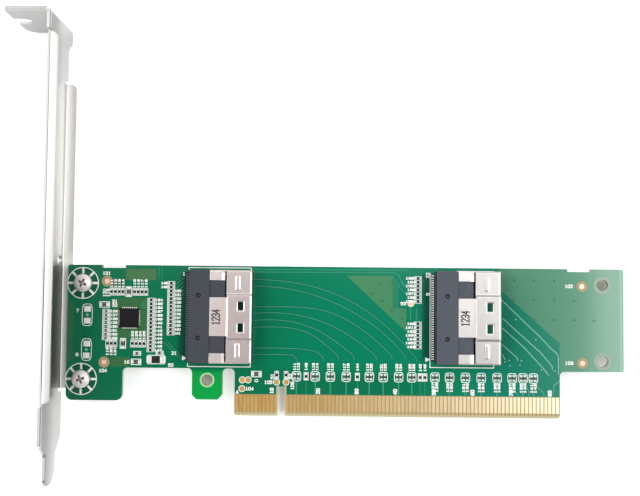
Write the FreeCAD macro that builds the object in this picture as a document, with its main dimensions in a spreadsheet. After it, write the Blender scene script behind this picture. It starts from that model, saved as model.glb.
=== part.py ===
import FreeCAD, Part
import os
import Sketcher
from FreeCAD import Placement, Rotation, Vector

# Edge-connector adapter card: a circuit board with a gold-fingered edge, two right-angle cable
# receptacles in stamped shells, a buffer chip with its small chip parts, and a folded slot bracket.
# Frame: the board lies in the XY plane, +X runs along the board away from the bracket, +Y from the
# fingers to the top edge and +Z up from the component side. The origin is the middle of the key
# notch, on the edge of the finger tips, half way through the board.

DOC = FreeCAD.newDocument("adapter_card")

# Driving sizes, in millimetres
SIZES = {
    # circuit board
    "board_thickness": 1.6,
    "board_height": 38.75,
    "strip_height": 26.65,
    "finger_pitch": 1.0,
    "short_count": 11,
    "long_count": 71,
    "key_to_contact": 1.5,
    "key_width": 1.9,
    "key_depth": 7.6,
    "edge_margin": 0.65,
    "end_arm_length": 16.55,
    "hold_tab_gap": 3.2,
    "hold_tab_width": 7.9,
    "hold_tab_length": 8.05,
    "hold_tab_bevel": 1.2,
    "hold_tab_hole": 2.9,
    "hold_tab_hole_drop": 3.0,
    "foot_gap": 18.1,
    "foot_width": 14.7,
    "foot_low_edge": 3.6,
    "foot_corner": 1.7,
    "inner_corner": 1.2,
    "small_corner": 0.6,
    "bevel_length": 1.3,
    "bevel_depth": 0.42,
    "break_notch_width": 6.1,
    "break_notch_depth": 0.75,
    "break_notch_inset_left": 8.95,
    "break_notch_inset_right": 8.45,
    "end_hole": 3.0,
    "end_hole_inset": 5.42,
    "end_hole_low_margin": 2.75,
    "end_hole_top_margin": 4.16,
    # gold fingers
    "finger_width": 0.7,
    "finger_height": 5.4,
    "plating": 0.05,
    # bracket
    "sheet": 0.86,
    "bend_radius": 0.45,
    "plate_gap": 2.05,
    "near_reach": 14.67,
    "plate_width": 18.42,
    "tab_width": 21.59,
    "tab_reach": 11.2,
    "tab_height": 102.0,
    "tab_chamfer": 1.2,
    "tab_round": 3.4,
    "tab_slot_width": 4.9,
    "tab_slot_depth": 4.4,
    "tab_slot_inset": 11.2,
    "shoulder_drop": 3.3,
    "shoulder_slope": 2.5,
    "near_flange_width": 2.95,
    "near_flange_low": 4.0,
    "near_flange_drop": 5.5,
    "far_flange_width": 3.65,
    "far_flange_drop": 15.3,
    "flange_corner": 1.6,
    "relief_width": 1.0,
    "relief_depth": 1.7,
    "ear_reach": 2.8,
    "ear_half": 2.55,
    "light_slot_length": 3.8,
    "light_slot_width": 2.2,
    "light_slot_rise": 1.15,
    "light_slot_inset": 4.65,
    "prong_shoulder": 6.0,
    "prong_root": 9.4,
    "prong_length": 17.2,
    "prong_far_inset": 4.3,
    "prong_near_inset": 5.3,
    "prong_taper": 0.8,
    "prong_cut": 2.8,
    "prong_corner": 1.0,
    # bracket screws
    "screw_inset": 3.95,
    "screw_low_margin": 5.45,
    "screw_top_margin": 4.78,
    "screw_shank": 2.5,
    "screw_length": 3.1,
    "screw_head": 4.7,
    "screw_head_height": 1.6,
    "screw_crown": 0.9,
    "screw_hole_clearance": 0.2,
    "thread_clearance": 0.05,
    "cross_width": 0.55,
    "cross_length": 2.6,
    "cross_depth": 0.9,
    # cable receptacles
    "receptacle_1_rear": -24.0,
    "receptacle_1_drop": 13.15,
    "receptacle_2_rear": 39.6,
    "receptacle_2_drop": 12.9,
    "receptacle_width": 23.8,
    "receptacle_depth": 16.4,
    "receptacle_height": 5.2,
    "shell_sheet": 0.3,
    "shell_bend": 0.28,
    "shell_fit": 0.03,
    "rear_block": 5.6,
    "seat_depth": 9.55,
    "mouth_floor": 0.7,
    "floor_setback": 0.4,
    "card_slit_width": 22.4,
    "card_slit_height": 1.1,
    "card_slit_depth": 4.6,
    "card_slit_level": 2.85,
    "mould_chamfer": 0.35,
    "mould_mark": 0.9,
    "mould_mark_depth": 0.3,
    "mould_mark_inset": 2.8,
    "mould_mark_spread": 5.45,
    "shell_gap": 0.4,
    "corner_tab_width": 2.6,
    "centre_strap_width": 9.9,
    "crown_width": 11.1,
    "crown_rise": 0.4,
    "window_length": 1.4,
    "window_width": 2.1,
    "window_spread": 2.77,
    "window_setback": 2.8,
    "rib_length": 3.4,
    "rib_width": 1.0,
    "rib_rise": 0.15,
    "rib_spread": 8.6,
    "rib_setback": 3.55,
    "leg_width": 1.3,
    "leg_rear": 7.2,
    "leg_front": 14.4,
    "leg_drop": 0.5,
    "leg_clearance": 0.15,
    "contact_count": 37,
    "contact_pitch": 0.6,
    "contact_width": 0.28,
    "contact_sheet": 0.15,
    "tail_reach": 1.1,
    "tail_height": 0.75,
    "tip_setback": 0.4,
    "tip_crest": 0.9,
    "tip_rise": 0.3,
    # buffer chip
    "chip_inset": 16.25,
    "chip_drop": 13.75,
    "chip_side": 5.0,
    "chip_height": 0.7,
    "chip_chamfer": 0.12,
    "chip_mark": 0.5,
    "chip_mark_depth": 0.05,
    "chip_mark_inset": 0.75,
    "lead_count": 8,
    "lead_pitch": 0.5,
    "lead_width": 0.25,
    "lead_length": 0.45,
    "lead_height": 0.15,
    "lead_proud": 0.06,
    # small chip parts
    "small_length": 1.0,
    "small_width": 0.5,
    "small_height": 0.38,
    "medium_length": 1.6,
    "medium_width": 0.8,
    "medium_height": 0.6,
    "large_length": 3.2,
    "large_width": 1.6,
    "large_height": 0.65,
    # runs of small chip parts: gap to the chip or receptacle, first part from its middle, number of parts
    "part_pitch": 1.0,
    "pair_pitch": 0.95,
    "coupling_drop": 1.8,
    "upper_row_gap": 4.3,
    "upper_left_first": -4.8,
    "upper_left_count": 4,
    "upper_right_first": 1.2,
    "upper_right_count": 4,
    "lower_row_gap": 4.15,
    "lower_left_first": -5.6,
    "lower_left_count": 3,
    "lower_right_first": 0.9,
    "lower_right_count": 4,
    "left_column_gap": 3.55,
    "left_column_first": 1.7,
    "left_column_count": 8,
    "right_column_gap": 3.15,
    "right_column_first": 4.7,
    "right_column_count": 14,
    "entry_column_gap": 5.0,
    "entry_column_first": 9.1,
    "entry_column_count": 14,
    "strap_column_gap": 4.3,
    "strap_upper_first": 10.1,
    "strap_upper_count": 7,
    "strap_lower_first": -1.7,
    "strap_lower_count": 7,
}

# Places worked out from the driving sizes
PLACES = {
    "board_top": "Sizes.board_thickness / 2",
    "board_bottom": "-Sizes.board_thickness / 2",
    "strip_low_edge": "Sizes.board_height - Sizes.strip_height",
    "edge_left": "-Sizes.key_to_contact - (Sizes.short_count - 1) * Sizes.finger_pitch - Sizes.edge_margin",
    "edge_right": "Sizes.key_to_contact + (Sizes.long_count - 1) * Sizes.finger_pitch + Sizes.edge_margin",
    "hold_tab_right": "edge_left - Sizes.hold_tab_gap",
    "hold_tab_left": "hold_tab_right - Sizes.hold_tab_width",
    "hold_tab_middle": "hold_tab_right - Sizes.hold_tab_width / 2",
    "hold_tab_low_edge": "strip_low_edge - Sizes.hold_tab_length",
    "hold_tab_hole_height": "strip_low_edge - Sizes.hold_tab_hole_drop",
    "foot_right": "hold_tab_left - Sizes.foot_gap",
    "board_left": "foot_right - Sizes.foot_width",
    "board_right": "edge_right + Sizes.end_arm_length",
    "notch_1_left": "board_left + Sizes.break_notch_inset_left",
    "notch_1_right": "notch_1_left + Sizes.break_notch_width",
    "notch_2_right": "board_right - Sizes.break_notch_inset_right",
    "notch_2_left": "notch_2_right - Sizes.break_notch_width",
    "notch_floor": "Sizes.board_height - Sizes.break_notch_depth",
    "end_hole_across": "board_right - Sizes.end_hole_inset",
    "end_hole_lower": "strip_low_edge + Sizes.end_hole_low_margin",
    "end_hole_upper": "Sizes.board_height - Sizes.end_hole_top_margin",
    "screw_across": "board_left + Sizes.screw_inset",
    "screw_lower": "Sizes.foot_low_edge + Sizes.screw_low_margin",
    "screw_upper": "Sizes.board_height - Sizes.screw_top_margin",
    "screw_spacing": "screw_upper - screw_lower",
    "plate_inner": "board_left - Sizes.plate_gap",
    "plate_outer": "plate_inner - Sizes.sheet",
    "near_edge": "board_top + Sizes.near_reach",
    "near_inside": "near_edge - Sizes.sheet",
    "far_edge": "near_edge - Sizes.plate_width",
    "tab_far": "near_edge - Sizes.tab_width",
    "tab_top": "Sizes.tab_height + Sizes.sheet",
    "tab_outer": "plate_outer - Sizes.tab_reach",
    "tab_slot_level": "near_edge - Sizes.tab_slot_inset",
    "tab_slot_end": "tab_outer + Sizes.tab_slot_depth - Sizes.tab_slot_width / 2",
    "near_flange_edge": "plate_outer + Sizes.near_flange_width",
    "far_flange_edge": "plate_outer + Sizes.far_flange_width",
    "far_flange_back": "board_bottom - Sizes.sheet",
    "far_flange_low": "screw_lower - Sizes.ear_half",
    "far_flange_high": "Sizes.tab_height - Sizes.far_flange_drop",
    "near_flange_high": "Sizes.tab_height - Sizes.near_flange_drop",
    "shoulder_height": "Sizes.tab_height - Sizes.shoulder_drop",
    "shoulder_foot": "shoulder_height - Sizes.shoulder_slope",
    "light_slot_height": "Sizes.board_height + Sizes.light_slot_rise",
    "ear_edge": "screw_across + Sizes.ear_reach",
    "bend_outside": "Sizes.bend_radius + Sizes.sheet",
    "prong_far": "far_edge + Sizes.prong_far_inset",
    "prong_near": "near_edge - Sizes.prong_near_inset",
    "receptacle_1_middle": "Sizes.board_height - Sizes.receptacle_1_drop",
    "receptacle_2_middle": "Sizes.board_height - Sizes.receptacle_2_drop",
    "half_width": "Sizes.receptacle_width / 2",
    "seat_height": "Sizes.receptacle_height - Sizes.shell_sheet",
    "inside_half": "half_width - Sizes.shell_sheet - Sizes.shell_fit",
    "shell_start": "Sizes.seat_depth + Sizes.shell_gap",
    "contact_span": "(Sizes.contact_count - 1) * Sizes.contact_pitch",
    "slit_low": "Sizes.card_slit_level - Sizes.card_slit_height / 2",
    "slit_high": "Sizes.card_slit_level + Sizes.card_slit_height / 2",
    "chip_across": "board_left + Sizes.chip_inset",
    "chip_up": "Sizes.board_height - Sizes.chip_drop",
    "coupling_height": "strip_low_edge - Sizes.coupling_drop",
}

sheet = DOC.addObject("Spreadsheet::Sheet", "Sizes")
for row, (alias, value) in enumerate(SIZES.items(), start=1):
    sheet.set(f"A{row}", alias)
    sheet.set(f"B{row}", str(value))
    sheet.setAlias(f"B{row}", alias)
DOC.recompute()

places = DOC.addObject("App::VarSet", "Places")
for name, formula in PLACES.items():
    places.addProperty("App::PropertyFloat", name)
    places.setExpression(name, formula)
DOC.recompute()

NODES = []


def number(name):
    """The value of a driving size or of a worked-out place."""
    if name in PLACES:
        return float(getattr(places, name))
    return float(sheet.get(name))


def new_body(label):
    """A part-design body that becomes a node of its own."""
    body = DOC.addObject("PartDesign::Body", label)
    body.Label = label
    body.AllowCompound = True
    NODES.append(body)
    return body


def sketch_on(body, name, role, level="0"):
    """A sketch on an origin plane of the body, lifted along the plane's normal to a level."""
    plane = next(feature for feature in body.Origin.OriginFeatures if feature.Role == role)
    sketch = body.newObject("Sketcher::SketchObject", f"{body.Name}_{name}")
    sketch.AttachmentSupport = [(plane, "")]
    sketch.MapMode = "FlatFace"
    sketch.setExpression("AttachmentOffset.Base.z", level)
    return sketch


def hold_point(sketch, line, point, across, up):
    """Fix a point of the sketch at two expressions."""
    for kind, place in (("DistanceX", across), ("DistanceY", up)):
        rule = sketch.addConstraint(Sketcher.Constraint(kind, line, point, 1.0))
        sketch.setExpression(f"Constraints[{rule}]", place)


def outline(sketch, corners):
    """A closed outline of straight lines whose corners are pairs of expressions."""
    first = sketch.GeometryCount
    count = len(corners)
    turn = Rotation(Vector(0, 0, 1), 360 / count)
    start = Vector(1, 0, 0)
    for _ in corners:
        end = turn.multVec(start)
        sketch.addGeometry(Part.LineSegment(start, end))
        start = end
    for index, (across, up) in enumerate(corners):
        line = first + index
        before = first + (index - 1) % count
        sketch.addConstraint(Sketcher.Constraint("Coincident", before, 2, line, 1))
        hold_point(sketch, line, 1, across, up)


def rectangle(sketch, left, right, low, high):
    """A rectangle between two pairs of expressions."""
    outline(sketch, [(left, low), (right, low), (right, high), (left, high)])


def circle(sketch, across, up, diameter):
    """A circle about a point, both given as expressions."""
    ring = sketch.addGeometry(Part.Circle(Vector(0, 0, 0), Vector(0, 0, 1), 1.0))
    hold_point(sketch, ring, 3, across, up)
    rule = sketch.addConstraint(Sketcher.Constraint("Diameter", ring, 2.0))
    sketch.setExpression(f"Constraints[{rule}]", diameter)


def pad(body, sketch, length, against_normal=False):
    """Raise a sketch by a length."""
    feature = body.newObject("PartDesign::Pad", f"{sketch.Name}_pad")
    feature.Profile = sketch
    feature.Refine = True
    feature.Reversed = against_normal
    feature.setExpression("Length", length)
    DOC.recompute()
    return feature


def pocket(body, sketch, depth=None, along_normal=False):
    """Cut a sketch into the body against its normal, to a depth or right through."""
    volume = body.Shape.Volume
    feature = body.newObject("PartDesign::Pocket", f"{sketch.Name}_pocket")
    feature.Profile = sketch
    feature.Refine = True
    feature.Reversed = along_normal
    if depth is None:
        feature.Type = "ThroughAll"
    else:
        feature.setExpression("Length", depth)
    DOC.recompute()
    if body.Shape.Volume >= volume:
        raise RuntimeError(f"{feature.Name} cuts nothing")
    return feature


def edges_along(shape, axis, first, second, low=None, high=None):
    """Names of the straight edges that run along an axis through two other coordinates."""
    others = [index for index in range(3) if index != axis]
    found = []
    for index, edge in enumerate(shape.Edges, start=1):
        if edge.Curve.TypeId != "Part::GeomLine":
            continue
        ends = [vertex.Point for vertex in edge.Vertexes]
        on_line = all(
            abs(end[others[0]] - first) < 1e-4 and abs(end[others[1]] - second) < 1e-4 for end in ends
        )
        middle = (ends[0][axis] + ends[-1][axis]) / 2
        inside = (low is None or middle > low) and (high is None or middle < high)
        if on_line and inside:
            found.append(f"Edge{index}")
    return found


def dress(body, kind, edges, size_name, size):
    """Round or bevel named edges of the body's last feature."""
    if not edges:
        raise RuntimeError(f"no edges to dress on {body.Label} for {size}")
    base = body.Tip
    feature = body.newObject(f"PartDesign::{kind}", f"{body.Name}_{kind}")
    feature.Base = (base, edges)
    feature.setExpression(size_name, size)
    DOC.recompute()
    return feature


def round_edges(body, edges, radius):
    """Round edges to a radius given as an expression."""
    return dress(body, "Fillet", edges, "Radius", radius)


def bevel_edges(body, edges, size):
    """Bevel edges at 45 degrees to a size given as an expression."""
    return dress(body, "Chamfer", edges, "Size", size)


def upright_edges(body, spots):
    """The edges along Z of the body's present shape at spots named by their two places."""
    shape = body.Shape
    return [edge for across, up in spots for edge in edges_along(shape, 2, number(across), number(up))]


def solid_group(label, solids):
    """A node that holds several equal solids."""
    group = DOC.addObject("Part::Feature", label)
    group.Label = label
    group.Shape = Part.makeCompound(solids)
    group.Placement = Placement()
    NODES.append(group)
    return group


def block(low, high):
    """A box between two corners."""
    low = Vector(*low)
    span = Vector(*high) - low
    return Part.makeBox(span.x, span.y, span.z, low)


RECEPTACLES = ("receptacle_1", "receptacle_2")


def make_circuit_board():
    """Laminate: strip, foot, hold-down tab and bevelled edge tongue, with its holes and notches."""
    body = new_body("circuit_board")
    runs = {
        "strip": ("board_left", "board_right", "Places.strip_low_edge", "Sizes.board_height"),
        "foot": ("board_left", "foot_right", "Sizes.foot_low_edge", "Places.strip_low_edge"),
        "hold_tab": ("hold_tab_left", "hold_tab_right", "Places.hold_tab_low_edge", "Places.strip_low_edge"),
        "edge_tongue": ("edge_left", "edge_right", "0", "Places.strip_low_edge"),
    }
    for name, (left, right, low, high) in runs.items():
        sketch = sketch_on(body, name, "XY_Plane", "Places.board_bottom")
        rectangle(sketch, f"Places.{left}", f"Places.{right}", low, high)
        pad(body, sketch, "Sizes.board_thickness")

    half_key = "Sizes.key_width / 2"
    notches = sketch_on(body, "notches", "XY_Plane", "Places.board_top")
    rectangle(notches, f"-{half_key}", half_key, "-Sizes.bevel_length", "Sizes.key_depth")
    above = "Sizes.board_height + Sizes.break_notch_depth"
    for name in ("notch_1", "notch_2"):
        rectangle(notches, f"Places.{name}_left", f"Places.{name}_right", "Places.notch_floor", above)
    pocket(body, notches)

    holes = sketch_on(body, "holes", "XY_Plane", "Places.board_top")
    screw_hole = "Sizes.screw_shank + 2 * Sizes.screw_hole_clearance"
    circle(holes, "Places.screw_across", "Places.screw_lower", screw_hole)
    circle(holes, "Places.screw_across", "Places.screw_upper", screw_hole)
    circle(holes, "Places.end_hole_across", "Places.end_hole_lower", "Sizes.end_hole")
    circle(holes, "Places.end_hole_across", "Places.end_hole_upper", "Sizes.end_hole")
    circle(holes, "Places.hold_tab_middle", "Places.hold_tab_hole_height", "Sizes.hold_tab_hole")
    pocket(body, holes)

    slots = sketch_on(body, "leg_slots", "XY_Plane", "Places.board_top")
    reach = "Sizes.leg_width / 2 + Sizes.leg_clearance"
    outside = "Places.half_width + Sizes.leg_clearance"
    inside = "Places.half_width - Sizes.shell_sheet - Sizes.leg_clearance"
    for unit in RECEPTACLES:
        for leg in ("Sizes.leg_rear", "Sizes.leg_front"):
            middle = f"Sizes.{unit}_rear + {leg}"
            left = f"{middle} - ({reach})"
            right = f"{middle} + {reach}"
            centre = f"Places.{unit}_middle"
            rectangle(slots, left, right, f"{centre} + {inside}", f"{centre} + {outside}")
            rectangle(slots, left, right, f"{centre} - ({outside})", f"{centre} - ({inside})")
    pocket(body, slots)

    foot_spots = [("board_left", "foot_low_edge"), ("foot_right", "foot_low_edge")]
    round_edges(body, upright_edges(body, foot_spots), "Sizes.foot_corner")
    inner_spots = [(name, "strip_low_edge") for name in ("foot_right", "hold_tab_left", "hold_tab_right")]
    inner_spots += [("edge_left", "strip_low_edge"), ("edge_right", "strip_low_edge")]
    round_edges(body, upright_edges(body, inner_spots), "Sizes.inner_corner")
    small_spots = [("board_left", "board_height"), ("board_right", "board_height")]
    small_spots += [("board_right", "strip_low_edge")]
    small_corners = upright_edges(body, small_spots)
    for across in ("edge_left", "edge_right"):
        small_corners += edges_along(body.Shape, 2, number(across), 0.0)
    round_edges(body, small_corners, "Sizes.small_corner")
    tab_spots = [("hold_tab_left", "hold_tab_low_edge"), ("hold_tab_right", "hold_tab_low_edge")]
    bevel_edges(body, upright_edges(body, tab_spots), "Sizes.hold_tab_bevel")

    slope = sketch_on(body, "bevel", "YZ_Plane", "Places.edge_right + Sizes.edge_margin")
    tip = "Places.board_top - Sizes.bevel_depth"
    outline(slope, [("0", tip), ("Sizes.bevel_length", "Places.board_top"), ("0", "Places.board_top")])
    under = "Places.board_bottom"
    outline(slope, [("0", f"-({tip})"), ("Sizes.bevel_length", under), ("0", under)])
    pocket(body, slope)


def finger_places():
    """X of every contact finger, short side of the key notch first."""
    pitch = number("finger_pitch")
    start = number("key_to_contact")
    short = [-start - index * pitch for index in range(int(number("short_count")))]
    long = [start + index * pitch for index in range(int(number("long_count")))]
    return short + long


def make_fingers():
    """Gold plating of the contact fingers, from the bevel up, on both faces of the edge tongue."""
    half = number("finger_width") / 2
    low = number("bevel_length")
    high = number("finger_height")
    top = number("board_top")
    bottom = number("board_bottom")
    skin = number("plating")
    front = [block((x - half, low, top), (x + half, high, top + skin)) for x in finger_places()]
    back = [block((x - half, low, bottom - skin), (x + half, high, bottom)) for x in finger_places()]
    solid_group("contact_fingers_front", front)
    solid_group("contact_fingers_back", back)


def make_bracket():
    """Folded sheet: plate with prong and shoulder, near flange, far flange with two ears, top tab."""
    body = new_body("bracket")
    plate = sketch_on(body, "plate", "YZ_Plane", "Places.plate_outer")
    near_relief = "Places.near_edge - Sizes.relief_depth"
    far_relief = "Places.far_flange_back + Sizes.relief_depth"
    prong_tip = "-Sizes.prong_length"
    outline(plate, [
        ("Places.tab_top", "Places.near_edge"),
        ("Places.tab_top", "Places.tab_far"),
        ("Places.shoulder_height", "Places.tab_far"),
        ("Places.shoulder_foot", "Places.far_edge"),
        ("Places.far_flange_high + Sizes.relief_width", "Places.far_edge"),
        ("Places.far_flange_high + Sizes.relief_width", far_relief),
        ("Places.far_flange_high", far_relief),
        ("Places.far_flange_high", "Places.far_flange_back"),
        ("Places.far_flange_low", "Places.far_flange_back"),
        ("Places.far_flange_low", far_relief),
        ("Places.far_flange_low - Sizes.relief_width", far_relief),
        ("Places.far_flange_low - Sizes.relief_width", "Places.far_edge"),
        ("-Sizes.prong_shoulder", "Places.far_edge"),
        ("-Sizes.prong_root", "Places.prong_far"),
        (f"{prong_tip} + Sizes.prong_cut", "Places.prong_far + Sizes.prong_taper"),
        (prong_tip, "Places.prong_far + Sizes.prong_taper + Sizes.prong_cut"),
        (prong_tip, "Places.prong_near - Sizes.prong_cut / 2"),
        (f"{prong_tip} + Sizes.prong_cut / 2", "Places.prong_near"),
        ("-Sizes.prong_root", "Places.prong_near"),
        ("-Sizes.prong_shoulder", "Places.near_edge"),
        ("Sizes.near_flange_low - Sizes.relief_width", "Places.near_edge"),
        ("Sizes.near_flange_low - Sizes.relief_width", near_relief),
        ("Sizes.near_flange_low", near_relief),
        ("Sizes.near_flange_low", "Places.near_edge"),
        ("Places.near_flange_high", "Places.near_edge"),
        ("Places.near_flange_high", near_relief),
        ("Places.near_flange_high + Sizes.relief_width", near_relief),
        ("Places.near_flange_high + Sizes.relief_width", "Places.near_edge"),
    ])
    pad(body, plate, "Sizes.sheet")

    outer = "Places.plate_outer"
    near = sketch_on(body, "near_flange", "XY_Plane", "Places.near_inside")
    rectangle(near, outer, "Places.near_flange_edge", "Sizes.near_flange_low", "Places.near_flange_high")
    pad(body, near, "Sizes.sheet")
    far = sketch_on(body, "far_flange", "XY_Plane", "Places.far_flange_back")
    rectangle(far, outer, "Places.far_flange_edge", "Places.far_flange_low", "Places.far_flange_high")
    pad(body, far, "Sizes.sheet")
    for name, height in (("lower_ear", "Places.screw_lower"), ("upper_ear", "Places.screw_upper")):
        ear = sketch_on(body, name, "XY_Plane", "Places.far_flange_back")
        low = f"{height} - Sizes.ear_half"
        rectangle(ear, "Places.far_flange_edge", "Places.ear_edge", low, f"{height} + Sizes.ear_half")
        pad(body, ear, "Sizes.sheet")
    tab = sketch_on(body, "tab", "XZ_Plane", "-Places.tab_top")
    rectangle(tab, "Places.tab_outer", "Places.plate_inner", "Places.tab_far", "Places.near_edge")
    pad(body, tab, "Sizes.sheet")

    slot = sketch_on(body, "tab_slot", "XZ_Plane", "-Places.tab_top")
    level = "Places.tab_slot_level"
    half = "Sizes.tab_slot_width / 2"
    mouth = "Places.tab_outer - Sizes.sheet"
    rectangle(slot, mouth, "Places.tab_slot_end", f"{level} - {half}", f"{level} + {half}")
    pocket(body, slot, "Sizes.sheet", along_normal=True)
    slot_end = sketch_on(body, "tab_slot_end", "XZ_Plane", "-Places.tab_top")
    circle(slot_end, "Places.tab_slot_end", level, "Sizes.tab_slot_width")
    pocket(body, slot_end, "Sizes.sheet", along_normal=True)
    light = sketch_on(body, "light_slot", "YZ_Plane", "Places.plate_inner")
    level = "Places.far_edge + Sizes.light_slot_inset"
    reach = "Sizes.light_slot_width / 2"
    length = "Sizes.light_slot_length / 2"
    low = f"Places.light_slot_height - {reach}"
    high = f"Places.light_slot_height + {reach}"
    rectangle(light, low, high, f"{level} - {length}", f"{level} + {length}")
    pocket(body, light, "Sizes.sheet")
    holes = sketch_on(body, "ear_holes", "XY_Plane", "Places.board_bottom")
    thread = "Sizes.screw_shank + 2 * Sizes.thread_clearance"
    circle(holes, "Places.screw_across", "Places.screw_lower", thread)
    circle(holes, "Places.screw_across", "Places.screw_upper", thread)
    pocket(body, holes, "Sizes.sheet")
    dress_bracket(body)


def dress_bracket(body):
    """Bend radii along the three folds, and the rounded corners of the flanges, ears, tab and prong."""
    outer = number("plate_outer")
    inner = number("plate_inner")
    near_low = number("near_flange_low")
    near_high = number("near_flange_high")
    far_low = number("far_flange_low")
    far_high = number("far_flange_high")
    folds = (
        (1, inner, "near_inside", outer, "near_edge", near_low, near_high),
        (1, inner, "board_bottom", outer, "far_flange_back", far_low, far_high),
        (2, outer, "tab_height", inner, "tab_top", None, None),
    )
    for axis, inside_face, inside, outside_face, outside, low, high in folds:
        edges = edges_along(body.Shape, axis, inside_face, number(inside), low, high)
        round_edges(body, edges, "Sizes.bend_radius")
        edges = edges_along(body.Shape, axis, outside_face, number(outside), low, high)
        round_edges(body, edges, "Places.bend_outside")

    flange_spots = [("near_flange_edge", "near_flange_low"), ("near_flange_edge", "near_flange_high")]
    flange_spots += [("far_flange_edge", "far_flange_high")]
    shape = body.Shape
    corners = upright_edges(body, flange_spots)
    for height in (number("screw_lower"), number("screw_upper")):
        for side in (-1, 1):
            corners += edges_along(shape, 2, number("ear_edge"), height + side * number("ear_half"))
    round_edges(body, corners, "Sizes.flange_corner")
    tab_end = number("tab_outer")
    round_edges(body, edges_along(body.Shape, 1, tab_end, number("tab_far")), "Sizes.tab_round")
    bevel_edges(body, edges_along(body.Shape, 1, tab_end, number("near_edge")), "Sizes.tab_chamfer")
    shape = body.Shape
    tip = -number("prong_length")
    cut = number("prong_cut")
    spots = [(tip + cut, number("prong_far") + number("prong_taper"))]
    spots += [(tip, number("prong_far") + number("prong_taper") + cut), (tip, number("prong_near") - cut / 2)]
    spots += [(tip + cut / 2, number("prong_near"))]
    root = -number("prong_root")
    spots += [(root, number("prong_far")), (root, number("prong_near"))]
    spots += [(number("shoulder_height"), number("tab_far")), (number("shoulder_foot"), number("far_edge"))]
    corners = [edge for up, level in spots for edge in edges_along(shape, 0, up, level)]
    round_edges(body, corners, "Sizes.prong_corner")
    level = number("far_edge") + number("light_slot_inset")
    length = number("light_slot_length") / 2
    reach = number("light_slot_width") / 2
    shape = body.Shape
    ends = []
    for end in (level - length, level + length):
        for side in (-reach, reach):
            ends += edges_along(shape, 0, number("light_slot_height") + side, end)
    round_edges(body, ends, "0.45 * Sizes.light_slot_width")


def make_screws():
    """Two pan-head screws with cross recesses, through the board into the bracket's ears."""
    body = new_body("bracket_screws")
    profile = sketch_on(body, "profile", "XZ_Plane", "-Places.screw_lower")
    axis = "Places.screw_across"
    shank = f"{axis} + Sizes.screw_shank / 2"
    head = f"{axis} + Sizes.screw_head / 2"
    tip = "Places.board_top - Sizes.screw_length"
    lip = "Places.board_top + Sizes.screw_head_height - Sizes.screw_crown"
    crown = "Places.board_top + Sizes.screw_head_height"
    outline(profile, [
        (axis, tip),
        (shank, tip),
        (shank, "Places.board_top"),
        (head, "Places.board_top"),
        (head, lip),
        (f"{head} - Sizes.screw_crown", crown),
        (axis, crown),
    ])
    turned = body.newObject("PartDesign::Revolution", "bracket_screws_turned")
    turned.Profile = profile
    turned.ReferenceAxis = (profile, ["Edge7"])
    turned.Angle = 360
    DOC.recompute()
    features = [turned]
    level = "Places.screw_lower"
    for across, up in (("cross_length", "cross_width"), ("cross_width", "cross_length")):
        cross = sketch_on(body, across, "XY_Plane", crown)
        half = f"Sizes.{across} / 2"
        reach = f"Sizes.{up} / 2"
        rectangle(cross, f"{axis} - {half}", f"{axis} + {half}", f"{level} - {reach}", f"{level} + {reach}")
        features.append(pocket(body, cross, "Sizes.cross_depth"))
    pair = body.newObject("PartDesign::LinearPattern", "bracket_screws_pair")
    pair.Originals = features
    up_axis = next(item for item in body.Origin.OriginFeatures if item.Role == "Y_Axis")
    pair.Direction = (up_axis, [""])
    pair.Occurrences = 2
    pair.setExpression("Length", "Places.screw_spacing")
    body.Tip = pair
    DOC.recompute()


def place_on_board(body, unit):
    """Set a receptacle's piece on the board: rear face, middle of its width, board surface."""
    body.setExpression("Placement.Base.x", f"Sizes.{unit}_rear")
    body.setExpression("Placement.Base.y", f"Places.{unit}_middle")
    body.setExpression("Placement.Base.z", "Places.board_top")


def make_housing(unit):
    """Moulded housing: rear block, seat under the shell, mouth floor, card slit and mould marks."""
    body = new_body(f"{unit}_housing")
    inside = "Places.inside_half"
    floor_front = "Sizes.receptacle_depth - Sizes.floor_setback"
    runs = {
        "rear": ("0", "Sizes.rear_block", "Places.half_width", "Sizes.receptacle_height"),
        "seat": ("Sizes.rear_block", "Sizes.seat_depth", inside, "Places.seat_height"),
        "floor": ("Sizes.seat_depth", floor_front, inside, "Sizes.mouth_floor"),
    }
    for name, (rear, front, half, height) in runs.items():
        sketch = sketch_on(body, name, "XY_Plane")
        rectangle(sketch, rear, front, f"-{half}", half)
        pad(body, sketch, height)
    slit = sketch_on(body, "card_slit", "YZ_Plane", "Sizes.seat_depth")
    half = "Sizes.card_slit_width / 2"
    rectangle(slit, f"-{half}", half, "Places.slit_low", "Places.slit_high")
    pocket(body, slit, "Sizes.card_slit_depth")
    marks = sketch_on(body, "mould_marks", "XY_Plane", "Sizes.receptacle_height")
    reach = "Sizes.mould_mark / 2"
    for side in ("-Sizes.mould_mark_spread", "Sizes.mould_mark_spread"):
        left = f"Sizes.mould_mark_inset - {reach}"
        right = f"Sizes.mould_mark_inset + {reach}"
        rectangle(marks, left, right, f"{side} - {reach}", f"{side} + {reach}")
    pocket(body, marks, "Sizes.mould_mark_depth")
    edges = edges_along(body.Shape, 1, 0.0, number("receptacle_height"))
    bevel_edges(body, edges, "Sizes.mould_chamfer")
    place_on_board(body, unit)


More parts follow.
